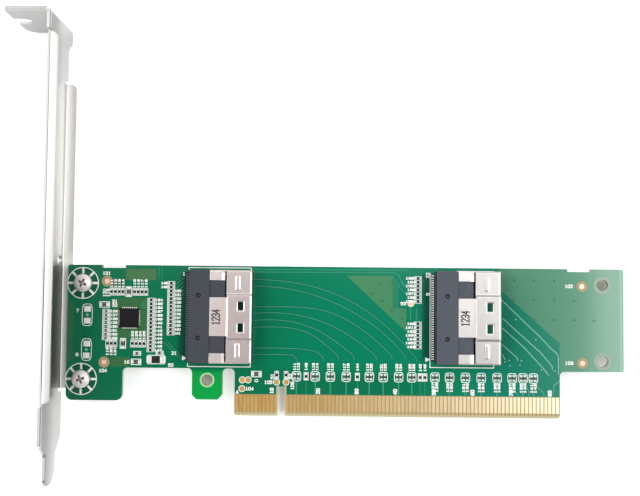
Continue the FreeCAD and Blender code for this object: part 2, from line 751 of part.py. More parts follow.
def make_shell(unit):
    """Stamped shell: legged walls, corner tabs, centre strap, crowned top with windows and ribs."""
    body = new_body(f"{unit}_shell")
    seat = "Places.seat_height"
    start = "Places.shell_start"
    front = "Sizes.receptacle_depth"
    rear = "Sizes.rear_block + Sizes.shell_fit"
    half = "Places.half_width"
    wall = "Places.half_width - Sizes.shell_sheet"
    strap = "Sizes.centre_strap_width / 2"
    crown = "Sizes.crown_width / 2"
    top = sketch_on(body, "top", "XY_Plane", seat)
    rectangle(top, start, front, f"-{half}", half)
    pad(body, top, "Sizes.shell_sheet")
    centre = sketch_on(body, "centre_strap", "XY_Plane", seat)
    rectangle(centre, rear, start, f"-{strap}", strap)
    pad(body, centre, "Sizes.shell_sheet")
    for name, low, high in (("left_wall", f"-{half}", f"-({wall})"), ("right_wall", wall, half)):
        side = sketch_on(body, name, "XY_Plane")
        rectangle(side, rear, front, low, high)
        pad(body, side, "Sizes.receptacle_height")
        for leg in ("leg_rear", "leg_front"):
            foot = sketch_on(body, f"{name}_{leg}", "XY_Plane")
            reach = "Sizes.leg_width / 2"
            rectangle(foot, f"Sizes.{leg} - {reach}", f"Sizes.{leg} + {reach}", low, high)
            pad(body, foot, "Sizes.board_thickness + Sizes.leg_drop", against_normal=True)
    tab_end = "Places.half_width - Sizes.corner_tab_width"
    for name, low, high in (("left_tab", f"-({wall})", f"-({tab_end})"), ("right_tab", tab_end, wall)):
        tab = sketch_on(body, name, "XY_Plane", seat)
        rectangle(tab, rear, "Sizes.seat_depth", low, high)
        pad(body, tab, "Sizes.shell_sheet")

    raised = sketch_on(body, "crown", "XY_Plane", seat)
    rectangle(raised, start, front, f"-{crown}", crown)
    pad(body, raised, "Sizes.shell_sheet + Sizes.crown_rise")
    hollow = sketch_on(body, "crown_hollow", "XY_Plane", seat)
    inner = f"{crown} - Sizes.shell_sheet"
    rectangle(hollow, f"{start} + Sizes.shell_sheet", front, f"-({inner})", inner)
    pocket(body, hollow, "Sizes.crown_rise", along_normal=True)
    windows = sketch_on(body, "windows", "XY_Plane", "Sizes.receptacle_height + Sizes.crown_rise")
    middle = f"{front} - Sizes.window_setback"
    reach = "Sizes.window_length / 2"
    for side in ("-Sizes.window_spread", "Sizes.window_spread"):
        low = f"{side} - Sizes.window_width / 2"
        high = f"{side} + Sizes.window_width / 2"
        rectangle(windows, f"{middle} - {reach}", f"{middle} + {reach}", low, high)
    pocket(body, windows, "Sizes.shell_sheet")
    for name, side in (("left_rib", "-Sizes.rib_spread"), ("right_rib", "Sizes.rib_spread")):
        rib = sketch_on(body, name, "XY_Plane", "Sizes.receptacle_height")
        middle = f"{front} - Sizes.rib_setback"
        reach = "Sizes.rib_width / 2"
        low = f"{side} - Sizes.rib_length / 2"
        high = f"{side} + Sizes.rib_length / 2"
        rectangle(rib, f"{middle} - {reach}", f"{middle} + {reach}", low, high)
        pad(body, rib, "Sizes.rib_rise")
    bends = []
    for side in (-1, 1):
        bends += edges_along(body.Shape, 0, side * number("half_width"), number("receptacle_height"))
    round_edges(body, bends, "Sizes.shell_bend")
    place_on_board(body, unit)


def contact_places(unit):
    """Y of every contact of a receptacle, spread about its middle."""
    start = number(f"{unit}_middle") - number("contact_span") / 2
    return [start + index * number("contact_pitch") for index in range(int(number("contact_count")))]


def cut_strip(profile, middle):
    """A strip one contact wide about its middle, from a profile in X and Z."""
    width = number("contact_width")
    corners = [Vector(x, middle - width / 2, z) for x, z in profile]
    face = Part.Face(Part.makePolygon(corners + corners[:1]))
    return face.extrude(Vector(0, width, 0))


def make_contacts(unit):
    """The ends of the contacts that show: solder tails at the rear, spring tips in the card slit."""
    rear = number(f"{unit}_rear")
    base = number("board_top")
    skin = number("contact_sheet")
    toe = rear - number("tail_reach")
    heel = rear - skin
    top = base + number("tail_height")
    tail = [(toe, base), (rear, base), (rear, top), (heel, top), (heel, base + skin), (toe, base + skin)]

    front = rear + number("seat_depth") - number("tip_setback")
    back = rear + number("seat_depth") - number("card_slit_depth")
    crest = front - number("tip_crest")
    low = base + number("slit_low")
    high = base + number("slit_high")
    rise = number("tip_rise")
    lower_tip = [(back, low), (front, low), (crest, low + rise)]
    upper_tip = [(back, high), (front, high), (crest, high - rise)]
    tails = []
    tips = []
    for middle in contact_places(unit):
        tails.append(cut_strip(tail, middle))
        tips.append(cut_strip(lower_tip, middle))
        tips.append(cut_strip(upper_tip, middle))
    solid_group(f"{unit}_contact_tails", tails)
    solid_group(f"{unit}_contact_tips", tips)


def make_buffer_chip():
    """Square leadless chip with bevelled top edges and a corner dot, on a ring of soldered leads."""
    body = new_body("buffer_chip")
    base = "Places.board_top + Sizes.lead_height"
    half = "Sizes.chip_side / 2"
    case = sketch_on(body, "case", "XY_Plane", base)
    left = f"Places.chip_across - {half}"
    low = f"Places.chip_up - {half}"
    rectangle(case, left, f"Places.chip_across + {half}", low, f"Places.chip_up + {half}")
    pad(body, case, "Sizes.chip_height")
    top = number("board_top") + number("lead_height") + number("chip_height")
    rim = []
    for side in (-1, 1):
        reach = side * number("chip_side") / 2
        rim += edges_along(body.Shape, 1, number("chip_across") + reach, top)
        rim += edges_along(body.Shape, 0, number("chip_up") + reach, top)
    bevel_edges(body, rim, "Sizes.chip_chamfer")
    dot = sketch_on(body, "corner_dot", "XY_Plane", f"{base} + Sizes.chip_height")
    circle(dot, f"{left} + Sizes.chip_mark_inset", f"{low} + Sizes.chip_mark_inset", "Sizes.chip_mark")
    pocket(body, dot, "Sizes.chip_mark_depth")

    count = int(number("lead_count"))
    outer = number("chip_side") / 2 + number("lead_proud")
    inner = outer - number("lead_length")
    reach = number("lead_width") / 2
    height = number("lead_height")
    centre = Vector(number("chip_across"), number("chip_up"), number("board_top"))
    leads = []
    for side in range(4):
        turn = Rotation(Vector(0, 0, 1), 90 * side)
        for index in range(count):
            along = (index - (count - 1) / 2) * number("lead_pitch")
            lead = block((inner, along - reach, 0), (outer, along + reach, height))
            lead.Placement = Placement(centre, turn)
            leads.append(lead)
    solid_group("buffer_chip_leads", leads)


def make_chip_parts(name, kind, spots):
    """Chip parts of one kind, each a block on the board, along Y where it stands upright or else along X."""
    half_length = number(f"{kind}_length") / 2
    half_width = number(f"{kind}_width") / 2
    base = number("board_top")
    top = base + number(f"{kind}_height")
    chips = []
    for across, up, upright in spots:
        reach, half = (half_width, half_length) if upright else (half_length, half_width)
        chips.append(block((across - reach, up - half, base), (across + reach, up + half, top)))
    solid_group(name, chips)


# Places of the coupling capacitor pairs and of the single ones, along X from the key notch
PAIR_PLACES = (3.9, 8.75, 12.7, 16.8, 22.8, 26.4, 30.4, 33.8, 39.8, 43.6, 47.7, 51.8, 55.9, 59.8, 62.6, 65.3)
SINGLE_PLACES = (6.4, 19.7, 36.0, 37.2)

# Single parts: place from the chip's middle, or along X from the key notch and up from the coupling
# capacitors, and whether they stand along Y
CHIP_FILTERS = ((-0.3, 6.8, True), (-1.55, -6.65, True), (-6.55, 3.4, False), (1.95, -11.4, False))
CHIP_LINK = (7.15, -10.75, False)
KEY_FILTER = (-6.5, 0.45, False)
KEY_STRAPS = ((-1.25, 0.3, True), (1.2, 0.3, True))


def run_of_spots(run, row, column):
    """Spots of a straight run of chip parts: upright along a row, or lying down a column."""
    count = int(number(f"{run}_count"))
    steps = [index * number("part_pitch") for index in range(count)]
    first = number(f"{run}_first")
    if run.startswith(("upper", "lower")):
        return [(column + first + step, row, True) for step in steps]
    return [(column, row + first - step, False) for step in steps]


def spots_from(across, up, offsets):
    """Spots of single parts by their offsets from one place."""
    return [(across + shift, up + rise, upright) for shift, rise, upright in offsets]


def make_small_parts():
    """Rows and columns of chip parts: coupling capacitors, resistors, filter capacitors and one link."""
    level = number("coupling_height")
    half_pair = number("pair_pitch") / 2
    coupling = [(x + side * half_pair, level, True) for x in PAIR_PLACES for side in (-1, 1)]
    coupling += [(x, level, True) for x in SINGLE_PLACES]
    make_chip_parts("coupling_capacitors", "small", coupling)

    chip_x = number("chip_across")
    chip_y = number("chip_up")
    half_chip = number("chip_side") / 2
    rows = {
        "upper": chip_y + half_chip + number("upper_row_gap"),
        "lower": chip_y - half_chip - number("lower_row_gap"),
    }
    setting = []
    for row, height in rows.items():
        for side in ("left", "right"):
            setting += run_of_spots(f"{row}_{side}", height, chip_x)
    columns = {
        "left_column": chip_x - half_chip - number("left_column_gap"),
        "right_column": chip_x + half_chip + number("right_column_gap"),
        "entry_column": number("receptacle_1_rear") - number("entry_column_gap"),
    }
    for run, across in columns.items():
        setting += run_of_spots(run, chip_y, across)
    make_chip_parts("setting_resistors", "small", setting)

    strapping = spots_from(0, level, KEY_STRAPS)
    for run in ("strap_upper", "strap_lower"):
        across = number("receptacle_2_rear") - number("strap_column_gap")
        strapping += run_of_spots(run, number("receptacle_2_middle"), across)
    make_chip_parts("strap_resistors", "small", strapping)

    filters = spots_from(chip_x, chip_y, CHIP_FILTERS) + spots_from(0, level, [KEY_FILTER])
    make_chip_parts("filter_capacitors", "medium", filters)
    make_chip_parts("power_link", "large", spots_from(chip_x, chip_y, [CHIP_LINK]))


def main():
    """Build every piece, check it and write one file for each node."""
    make_circuit_board()
    make_fingers()
    make_bracket()
    make_screws()
    for unit in RECEPTACLES:
        make_housing(unit)
        make_shell(unit)
        make_contacts(unit)
    make_buffer_chip()
    make_small_parts()
    DOC.recompute()
    for item in DOC.Objects:
        if "Invalid" in item.State or "Error" in item.State:
            raise RuntimeError(f"{item.Name} failed: {item.State}")
    os.makedirs("parts", exist_ok=True)
    for node in NODES:
        shape = node.Shape
        if shape.isNull() or not shape.isValid():
            raise RuntimeError(f"{node.Label} has no valid shape")
        shape.exportStep(f"parts/{node.Label}.step")
        print(node.Label, len(shape.Solids), "solids", round(shape.Volume, 2), "mm3")


main()
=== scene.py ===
# %% [markdown]
# # An edge-connector adapter card
# The card is a long green circuit board with gold fingers on its lower edge, two cable receptacles, rows of tiny
# chip parts and a folded steel bracket. The solids come from CAD and stay as they are. Blender adds what CAD
# leaves out: finishes, rounded edges, pressed sheet, printed lines, copper traces, pads and the ends of chip parts.

# %% Load the card's solids
import math

import bmesh
import bpy
import numpy as np
from mathutils import Matrix, Vector


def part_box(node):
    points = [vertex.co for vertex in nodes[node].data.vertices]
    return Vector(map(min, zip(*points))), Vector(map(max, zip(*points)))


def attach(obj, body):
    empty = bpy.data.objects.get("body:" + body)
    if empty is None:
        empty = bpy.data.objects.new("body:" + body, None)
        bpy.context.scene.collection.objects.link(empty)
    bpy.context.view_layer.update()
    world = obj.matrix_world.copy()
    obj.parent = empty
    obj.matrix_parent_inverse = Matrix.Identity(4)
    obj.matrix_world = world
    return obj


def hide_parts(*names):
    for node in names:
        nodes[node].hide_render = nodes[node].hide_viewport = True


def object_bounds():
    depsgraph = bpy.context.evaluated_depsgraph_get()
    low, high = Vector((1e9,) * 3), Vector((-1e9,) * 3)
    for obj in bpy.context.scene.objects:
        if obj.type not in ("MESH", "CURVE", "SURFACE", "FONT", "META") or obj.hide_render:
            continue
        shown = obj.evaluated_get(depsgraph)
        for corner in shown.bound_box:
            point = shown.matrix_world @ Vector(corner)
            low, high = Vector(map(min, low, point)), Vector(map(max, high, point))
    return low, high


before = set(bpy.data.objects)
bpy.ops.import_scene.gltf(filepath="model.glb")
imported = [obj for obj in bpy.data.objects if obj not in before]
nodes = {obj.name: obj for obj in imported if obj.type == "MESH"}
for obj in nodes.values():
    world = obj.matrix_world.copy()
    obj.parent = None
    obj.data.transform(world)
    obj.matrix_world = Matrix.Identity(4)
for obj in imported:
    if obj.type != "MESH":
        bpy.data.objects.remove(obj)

cad_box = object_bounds()

# Places in mm from the key notch: the board's top face, the back edge and middle of each receptacle, and the screws
BOARD_TOP = round(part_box("circuit_board")[1][2] * 1000, 3)
RECEPTACLES = np.array([(-24.0, 25.6), (39.6, 25.85)])
SCREWS = np.array([(-52.1, 9.05), (-52.1, 33.97)])
print("card spans", [round(v * 1000, 2) for v in cad_box[1] - cad_box[0]], "mm")

# %% [markdown]
# ## The camera
# The photograph looks almost straight down on the card from a quarter of a metre. The place and the small tilt were
# found by fitting corners of the card that are easy to see in the picture. The board lies in the XY plane, so a
# camera that isn't turned at all already looks down on it, and only a few degrees of turn are left to add.

# %% Place the camera
tilt = Vector((3.065, 0.340, 0.535)) * math.radians(1)
camera = bpy.data.objects.new("camera", bpy.data.cameras.new("camera"))
camera.data.lens = 53.93
camera.matrix_world = (Matrix.Translation((0.011235, 0.030279, 0.251002))
                       @ Matrix.Rotation(tilt.length, 4, tilt.normalized()))
camera.data.clip_start = 0.01
bpy.context.scene.collection.objects.link(camera)
bpy.context.scene.camera = camera
print("camera is", round(camera.location.z * 1000), "mm above the board")

# %% [markdown]
# ## Shader sums as Python
# A finish is a small network of nodes. Wiring each sum by hand hides the idea, so this class wraps a socket and lets
# plain arithmetic add the Math nodes. Every other node comes from the one method `node`: type, settings, sockets.

# %% A socket that can be added and multiplied


class Wire:
    """One output socket of a node tree. Arithmetic on it adds Math nodes and gives back another Wire."""

    def __init__(self, tree, socket=None):
        self.tree, self.socket = tree, socket

    def node(self, kind, settings=(), sockets=(), out=0):
        """Add a node: its type, its settings first, then its sockets' values or links."""
        made = self.tree.nodes.new("ShaderNode" + kind)
        for name, value in dict(settings).items():
            setattr(made, name, value)
        for key, value in dict(sockets).items():
            if isinstance(value, Wire):
                self.tree.links.new(value.socket, made.inputs[key])
            else:
                made.inputs[key].default_value = value
        return Wire(self.tree, made.outputs[out])

    def math(self, operation, *others):
        """A Math node whose first term is this wire."""
        return self.node("Math", {"operation": operation}, enumerate((self, *others)))

    def __add__(self, other):
        return self.math("ADD", other)

    def __sub__(self, other):
        return self.math("SUBTRACT", other)

    def __rsub__(self, other):
        return self.math("MULTIPLY_ADD", -1, other)

    def __mul__(self, other):
        return self.math("MULTIPLY", other)

    __radd__ = __add__

    def step(self, low, high):
        """0 below low, 1 above high, and a smooth rise between; low above high turns it round."""
        return self.node("MapRange", {"interpolation_type": "SMOOTHSTEP"}, {0: self, 1: low, 2: high})

    def mix(self, first, second):
        """The first colour where this mask is 0, the second where it is 1."""
        pick = [w if isinstance(w, Wire) else (*w, 1) for w in (first, second)]
        return self.node("Mix", {"data_type": "RGBA"}, {0: self, 6: pick[0], 7: pick[1]}, out=2)


print("shader sums ready")

# %% [markdown]
# ## The studio
# The photograph was taken on white with soft light from all round. A bright sky does that. Straight above the card
# the sky is dark, as a camera and its stand would make it, so the glossy board keeps its deep green. What else the
# metal mirrors is drawn in the sky too: two gleams behind the card for the shells, bright walls at the sides for the
# bracket, a dimmer front and a pale horizon. Soft panels to the right, left and top put the sheen on the far end.

# %% Sky and soft panels
scene = bpy.context.scene
scene.view_settings.view_transform = "Standard"
scene.world = bpy.data.worlds.new("soft_sky")
scene.world.use_nodes = True
sky = Wire(scene.world.node_tree)
ray = [sky.node("SeparateXYZ", sockets={0: sky.node("TexCoord", out="Generated")}, out=axis) for axis in range(3)]
sideways, lengthways = (ray[axis].math("DIVIDE", ray[2]) for axis in (0, 1))
above = ray[2].step(0.0, 0.1)


def patch(left, right, low, high, edge):
    """1 in a rectangle of the sky, given in slopes sideways and lengthways, falling to 0 over an edge outside it."""
    return (sideways.step(left - edge, left) * sideways.step(right + edge, right) * lengthways.step(low - edge, low)
            * lengthways.step(high + edge, high) * above)


stand = patch(-0.31, 0.21, -0.125, 0.05, 0.025) + patch(-0.37, -0.335, -0.16, -0.06, 0.025) * 0.6
gleams = patch(-0.42, -0.16, 0.085, 0.30, 0.05) * 1.3 + patch(0.16, 0.42, 0.085, 0.32, 0.04) * 1.8
walls = ray[0].step(-0.40, -0.50) * 0.8 + ray[0].math("ABSOLUTE").step(0.70, 0.82) * 0.75
horizon = ray[2].step(0.14, 0.02)
front = ray[1].step(-0.35, -0.75) * (1 - horizon)
glow = (0.68 - front * 0.38 + gleams + walls + horizon * 0.3) * (1 - stand * 0.97)
background = scene.world.node_tree.nodes["Background"]
scene.world.node_tree.links.new(glow.socket, background.inputs["Strength"])
background.inputs["Color"].default_value = (1.0, 0.99, 0.98, 1)


def soft_panel(name, place, lean, size, glare):
    """A rectangular area light that looks down from a place in metres, leaning sideways by so many degrees, with
    so much glare on its face: an area light's power is glare times pi times area."""
    panel = bpy.data.objects.new(name, bpy.data.lights.new(name, "AREA"))
    panel.data.shape = "RECTANGLE"
    panel.data.size, panel.data.size_y = size
    panel.data.energy = glare * math.pi * size[0] * size[1]
    panel.location = place
    panel.rotation_euler = (0, math.radians(lean), 0)
    scene.collection.objects.link(panel)


soft_panel("right_panel", (0.275, 0.03, 0.42), 25, (0.15, 0.24), 4.1)
soft_panel("left_panel", (-0.265, 0.06, 0.42), -16, (0.14, 0.44), 2.4)
soft_panel("top_panel", (0.06, 0.145, 0.42), 0, (0.06, 0.16), 3.4)
print("sky with", len(scene.world.node_tree.nodes), "nodes and three panels")

# %% [markdown]
# ## Starting a finish
# Every finish starts the same way: one Principled shader, constant values set straight on its sockets, and the
# card's own coordinates in millimetres so that patterns have real sizes.

# %% A finish and its coordinates


def finish(name, **constants):
    """A new material with constants on its shader; gives the material, its place wire and x, y, z in mm."""
    material = bpy.data.materials.new(name)
    material.use_nodes = True
    shader = material.node_tree.nodes["Principled BSDF"]
    for socket, value in constants.items():
        shader.inputs[socket.replace("_", " ")].default_value = value
    start = Wire(material.node_tree)
    place = start.node("VectorMath", {"operation": "SCALE"},
                       {0: start.node("TexCoord", out="Object"), "Scale": 1000})
    return material, place, [place.node("SeparateXYZ", sockets={0: place}, out=axis) for axis in range(3)]


def feed(material, **wires):
    """Link wires to the shader's sockets by name."""
    shader = material.node_tree.nodes["Principled BSDF"]
    for socket, wire in wires.items():
        material.node_tree.links.new(wire.socket, shader.inputs[socket.replace("_", " ")])
    return material


def grain(place, scale, stretch=(1, 1, 1), detail=2.0):
    """Noise between 0 and 1 with so many features a millimetre, drawn out along any axis whose stretch is small."""
    drawn = place.node("VectorMath", {"operation": "MULTIPLY"}, {0: place, 1: stretch})
    return place.node("TexNoise", sockets={"Vector": drawn, "Scale": scale, "Detail": detail})


def bump(height, depth):
    """A Bump node for a height between 0 and 1 that stands for a depth in mm."""
    return height.node("Bump", sockets={"Height": height, "Distance": depth * 0.001, "Strength": 1.0})


def coat(name, roughness, drift, dark, light, fine=5.0):
    """A flat coat of ink, lacquer or laminate: its colour drifts between two tones over a fine bump."""
    material, place, _ = finish(name, Roughness=roughness)
    return feed(material, Base_Color=grain(place, drift).mix(dark, light), Normal=bump(grain(place, fine), 0.01))


def slab(value, low, high, soft=0.25):
    """1 where a coordinate lies between two limits, falling to 0 over a soft edge in mm."""
    return value.step(low - soft, low + soft) * value.step(high + soft, high - soft)


def nearest(place, middles):
    """Distance in mm, seen from above, to the nearest of some middles."""
    flat = place.node("VectorMath", {"operation": "MULTIPLY"}, {0: place, 1: (1, 1, 0)})
    reach = [flat.node("VectorMath", {"operation": "DISTANCE"}, {0: flat, 1: (*m, 0)}, out="Value") for m in middles]
    least = reach[0]
    for other in reach[1:]:
        least = least.math("MINIMUM", other)
    return least


print("finishes can be made")

# %% [markdown]
# ## The floor
# The card lies on white paper. The paper glows a little, so that it stays white round the card as in the photograph,
# but not underneath the board, where no light gets in: the holes and the key notch look down on those grey parts.

# %% White floor
floor_mesh = bpy.data.meshes.new("floor")
floor_mesh.from_pydata([(x, y, cad_box[0].z) for x, y in ((-3, -3), (3, -3), (3, 3), (-3, 3))], [], [(0, 1, 2, 3)])
floor = bpy.data.objects.new("floor", floor_mesh)
scene.collection.objects.link(floor)
floor_white, place, (x, y, z) = finish("floor_white", Roughness=0.9, Specular_IOR_Level=0.0, Emission_Strength=0.42)
# Painted shadow: under the board the paper is painted darker and does not glow; the holes and the key notch look down
# on it.
below_strip = slab(x, -54, 86.6, 1) * slab(y, 18, 36.3, 1)
below_end_hole = slab(x, 76, 86.6, 0.8) * slab(y, 12.9, 17, 0.6) * 0.55
below_tab_hole = slab(x, -22.3, -17.3, 0.7) * slab(y, 6.8, 11.8, 0.7)
below_notch = slab(x, -1.0, 1.0, 0.8) * slab(y, -0.2, 8, 1.2) * 0.6
under = below_strip + below_end_hole + below_tab_hole + below_notch
paper = grain(place, 0.02).mix((0.82, 0.82, 0.81), (0.88, 0.88, 0.88))
feed(floor_white, Base_Color=under.mix(paper, (0.62, 0.58, 0.53)), Emission_Color=under.mix((1, 1, 1), (0, 0, 0)))
floor_mesh.materials.append(floor_white)
print("floor at", round(cad_box[0].z * 1000, 2), "mm")

# %% [markdown]
# ## Green solder mask
# The board is glass laminate under a glossy green lacquer. Copper underneath shows through: where a solid copper
# area ends the green turns olive. Those areas have straight edges, so each is a product of soft steps in x and y or
# across a slanted line. Each is laid over the green before it. Painted shadows darken the green beside and under
# each receptacle's tails, and the green grows lighter towards the far end, partly a painted sheen. The lacquer stops
# short of the fingers, where tan laminate is bare between the gold. Sawn edges are cream, and so is the sloped lip,
# with a darker tooth under every finger.

# %% Copper that shows through, painted shadows and painted sheen
solder_mask, place, (x, y, z) = finish("solder_mask", Specular_IOR_Level=0.7)
diagonal = (x - 16.7) * 0.68 + (y - 36.5) * 0.73
wedge = (diagonal.step(-0.1, 0.2) * slab(y, 20, 36.5) * (1 - x.step(28.7, 28.95) * y.step(28.0, 28.3))
         * x.step(32.4, 32.2))
far_slope = ((x - 57.13) * 0.67 + (y - 32.8) * 0.745).step(-0.1, 0.2) * y.step(19.5, 19.8)
far_pour = far_slope.math("MAXIMUM", x.step(72.0, 72.4)) * x.step(56.5, 57.0)
# Bluer, lighter green beyond the second receptacle: partly the board's own tone, partly a painted sheen.
far_green, far_rim = x.step(46, 54), slab(x, 87.75, 88.35, 0.15)
low_green = y.step(14, 9) * x.step(55, 25)
patches = slab(x, -40.9, -33.0) * slab(y, 34.9, 37.75) + slab(x, -58, -54.6, 0.8) * slab(y, 13.5, 29.2, 1.5) * 0.5
chip_pour = slab(x, -43.0, -34.9) * slab(y, 19.4, 30.2) + slab(x, -44.5, -39.6) * slab(y, 12.4, 14.8)
hold_tab = slab(x, -26, -13.6) * y.step(12.4, 10.6)
screw_land = nearest(place, SCREWS).step(4.02, 3.9)
# Painted shadows: the green is painted darker along the back of each receptacle, and near black under its rows of
# tails.
painted_housing_shadow = (slab(x, -26.8, -24.5, 0.9) + slab(x, 36.6, 39.0, 0.9)) * slab(y, 14.6, 37.0, 0.8)
painted_tail_shadow = (slab(x, -25.3, -23.0, 0.3) + slab(x, 38.45, 40.5, 0.3)) * slab(y, 14.6, 37.0)

cloud = grain(place, 0.12)
emerald = cloud.mix((0.001, 0.142, 0.062), (0.001, 0.176, 0.077))
# The green grows lighter towards the far end: partly the board's own tone, partly a painted sheen.
green = x.step(-60, 60).mix(emerald, (0.001, 0.205, 0.110))
areas = ((low_green, (0.001, 0.150, 0.068)), (patches, (0.066, 0.180, 0.072)), (chip_pour, (0.042, 0.155, 0.055)),
         (wedge, (0.062, 0.235, 0.108)), (far_green, (0.001, 0.192, 0.118)), (far_pour, (0.070, 0.245, 0.150)),
         (far_rim, (0.140, 0.320, 0.230)), (hold_tab, (0.002, 0.335, 0.058)), (screw_land, (0.002, 0.105, 0.060)),
         (painted_housing_shadow, (0.004, 0.070, 0.046)), (painted_tail_shadow, (0.001, 0.028, 0.018)))
front_side = z.step(0.0, 0.1)
for mask, tone in areas:
    green = (mask * front_side).mix(green, tone)
print(len(areas), "areas laid over the green")

# %% Lacquer over bare laminate
facing = place.node("SeparateXYZ", sockets={0: place.node("NewGeometry", out="True Normal")}, out=2)
flat_face = facing.math("ABSOLUTE").step(0.6, 0.9)
weave = (x * 9.0).math("SINE") * (y * 9.0).math("SINE") * 0.5 + 0.5
tongue = x.step(-14, -13) * x.step(73.5, 73)
finger_zone = y.step(5.6, 5.5) * tongue
tooth = (x * math.tau).math("COSINE").step(0.35, -0.35)
cut_edge = weave.mix((0.30, 0.38, 0.24), (0.38, 0.46, 0.31))
between = x.step(-15, 80).mix(weave.mix((0.32, 0.175, 0.042), (0.39, 0.235, 0.068)), (0.44, 0.32, 0.13))
sawn = slab(x.math("ABSOLUTE"), 0.5, 1.3, 0.06) * y.step(7.8, 7.6) + slab(x, -13, -12.3, 0.06) * y.step(9.2, 9.0)
lip = y.step(0.9, 0.4).mix(tooth.mix((0.33, 0.23, 0.085), (0.47, 0.38, 0.19)), (0.50, 0.45, 0.275))
bare = sawn.mix((y.step(1.35, 1.2) * tongue).mix(between, lip), (0.52, 0.47, 0.31))
lacquer = flat_face * (1 - finger_zone) * (1 - sawn)
feed(solder_mask, Base_Color=lacquer.mix(finger_zone.mix(cut_edge, bare), green), Roughness=0.55 - lacquer * 0.43,
     Normal=bump(grain(place, 0.8) + grain(place, 6.0) * 0.3, 0.001))
nodes["circuit_board"].data.materials[0] = solder_mask
print("solder mask with", len(solder_mask.node_tree.nodes), "nodes")

# %% [markdown]
# ## Metals
# Each metal has its own face. The receptacle shells are satin and lighter on the flat of their straps; the first is
# painted pinker and lighter than the second, a painted reflection. Tin is dull and grainy. One function makes them
# from two colours, a roughness and a grain. The bracket is bright rolled sheet with faint streaks along its length.
# Its top tab and the upper part of its inner face are painted darker, a painted shade, and beside the board its inner
# face is painted the board's dark green, a painted reflection. A painted highlight lightens its fold, flange and top
# rim, and beside the board the flange is painted a dull white, not metal. The gold of the fingers turns from deep at
# the key notch to pale at the far end, a painted sheen.

# %% Metal finishes


def metal(name, dark, light, roughness, scale, stretch=(1, 1, 1), depth=0.002, metallic=1.0, lighter_span=None):
    """Bare metal whose colour and roughness drift with a grain, stretched to show rolling or brushing. Between two
    given values of x it is lighter."""
    material, place, (x, _, _) = finish(name, Metallic=metallic)
    streak = grain(place, scale, stretch)
    tone = (streak * 0.5 + grain(place, 0.15) * 0.5).mix(dark, light)
    if lighter_span is not None:
        tone = slab(x, *lighter_span, 0.1).mix(tone, [c * 1.12 for c in light])
    return feed(material, Base_Color=tone, Roughness=roughness - 0.05 + streak * 0.1, Normal=bump(streak, depth))


bracket_steel, place, (x, y, z) = finish("bracket_steel", Metallic=1.0)
streak = grain(place, 1.2, (1, 0.02, 1))
tab = x.step(-58.9, -59.4) * y.step(96, 98)
inner = slab(x, -58.25, -57.95, 0.05) * z.step(-0.4, 0.6)
# Painted highlight: the fold between the inner face and the far flange is painted lighter.
painted_fold_highlight = slab(x, -58.3, -57.7, 0.08) * z.step(2.6, 1.2) * slab(y, 41, 86.4, 3)
# Painted reflection: the inner face beside the board is painted the board's dark green.
painted_board_reflection = inner * slab(y, 8, 39, 3)
# Painted highlight: the flanges and the top rim are painted lighter.
flange, rim = x.step(-57.85, -57.6) * z.step(1.2, 0.6), slab(z, 14.4, 14.68, 0.05)
# Painted highlight: beside the board the flange is painted near white and not metal.
painted_dull_highlight = flange * y.step(44, 38)
tone = streak.mix((0.47, 0.465, 0.46), (0.51, 0.505, 0.50))
# Painted shade: the top tab, and the inner face from 2 mm upwards, are painted darker.
for mask, other in ((tab, (0.35, 0.35, 0.35)), (inner * z.step(2, 12) * 0.75, (0.14, 0.155, 0.145)),
                    (painted_fold_highlight, (0.58, 0.575, 0.565)), (painted_board_reflection, (0.075, 0.105, 0.08)),
                    (flange + rim, (0.80, 0.79, 0.77)), (painted_dull_highlight, (0.98, 0.95, 0.92))):
    tone = mask.mix(tone, other)
feed(bracket_steel, Base_Color=tone, Metallic=1 - painted_dull_highlight, Roughness=streak * 0.06 + 0.27, Normal=bump(streak, 0.0003))

straps = RECEPTACLES[:, :1] + (5.0, 9.7)
# Painted reflection: the two shells are the same part, the first painted pinker and lighter than the second.
shell_pink, shell_plain = (
    metal(name, dark, light, 0.30, 3.0, (1, 0.2, 1), 0.0007, lighter_span=strap) for name, dark, light, strap in (
        ("shell_pink", (0.69, 0.60, 0.58), (0.79, 0.695, 0.675), straps[0]),
        ("shell_plain", (0.56, 0.54, 0.52), (0.67, 0.65, 0.63), straps[1])))
tip_gold = metal("tip_gold", (0.75, 0.50, 0.18), (0.85, 0.62, 0.28), 0.30, 4.0)
mark_copper = metal("mark_copper", (0.60, 0.33, 0.21), (0.92, 0.66, 0.48), 0.35, 2.2, metallic=0.6)
tin = metal("tin", (0.80, 0.80, 0.79), (0.95, 0.95, 0.94), 0.45, 5.0, depth=0.01, metallic=0.3)

dull_plating, place, (x, y, z) = finish("dull_plating", Metallic=0.3)
haze = grain(place, 3.0)
ring_tone = x.step(0, 20).mix(haze.mix((0.35, 0.57, 0.32), (0.44, 0.69, 0.41)),
                              haze.mix((0.22, 0.30, 0.235), (0.30, 0.38, 0.31)))
feed(dull_plating, Base_Color=z.step(0.80, 0.82).mix(haze.mix((0.30, 0.24, 0.17), (0.42, 0.35, 0.26)), ring_tone),
     Roughness=haze * 0.2 + 0.35)

screw_steel, place, _ = finish("screw_steel", Metallic=0.35)
# Painted shade: the cross recess is painted dark, less so at the very middle.
recess = place.node("Attribute", {"attribute_name": "pressed"}, out="Fac").step(0.35, 0.9)
recess *= 1 - nearest(place, SCREWS).step(0.5, 0.2) * 0.6
scuff = grain(place, 2.0)
feed(screw_steel, Base_Color=recess.mix(scuff.mix((0.84, 0.79, 0.77), (0.99, 0.94, 0.92)), (0.16, 0.14, 0.13)),
     Roughness=scuff * 0.15 + 0.22, Normal=bump(scuff, 0.008))

finger_gold, place, (x, y, z) = finish("finger_gold", Metallic=1.0)
rub = grain(place, 1.2, (1, 0.15, 1))
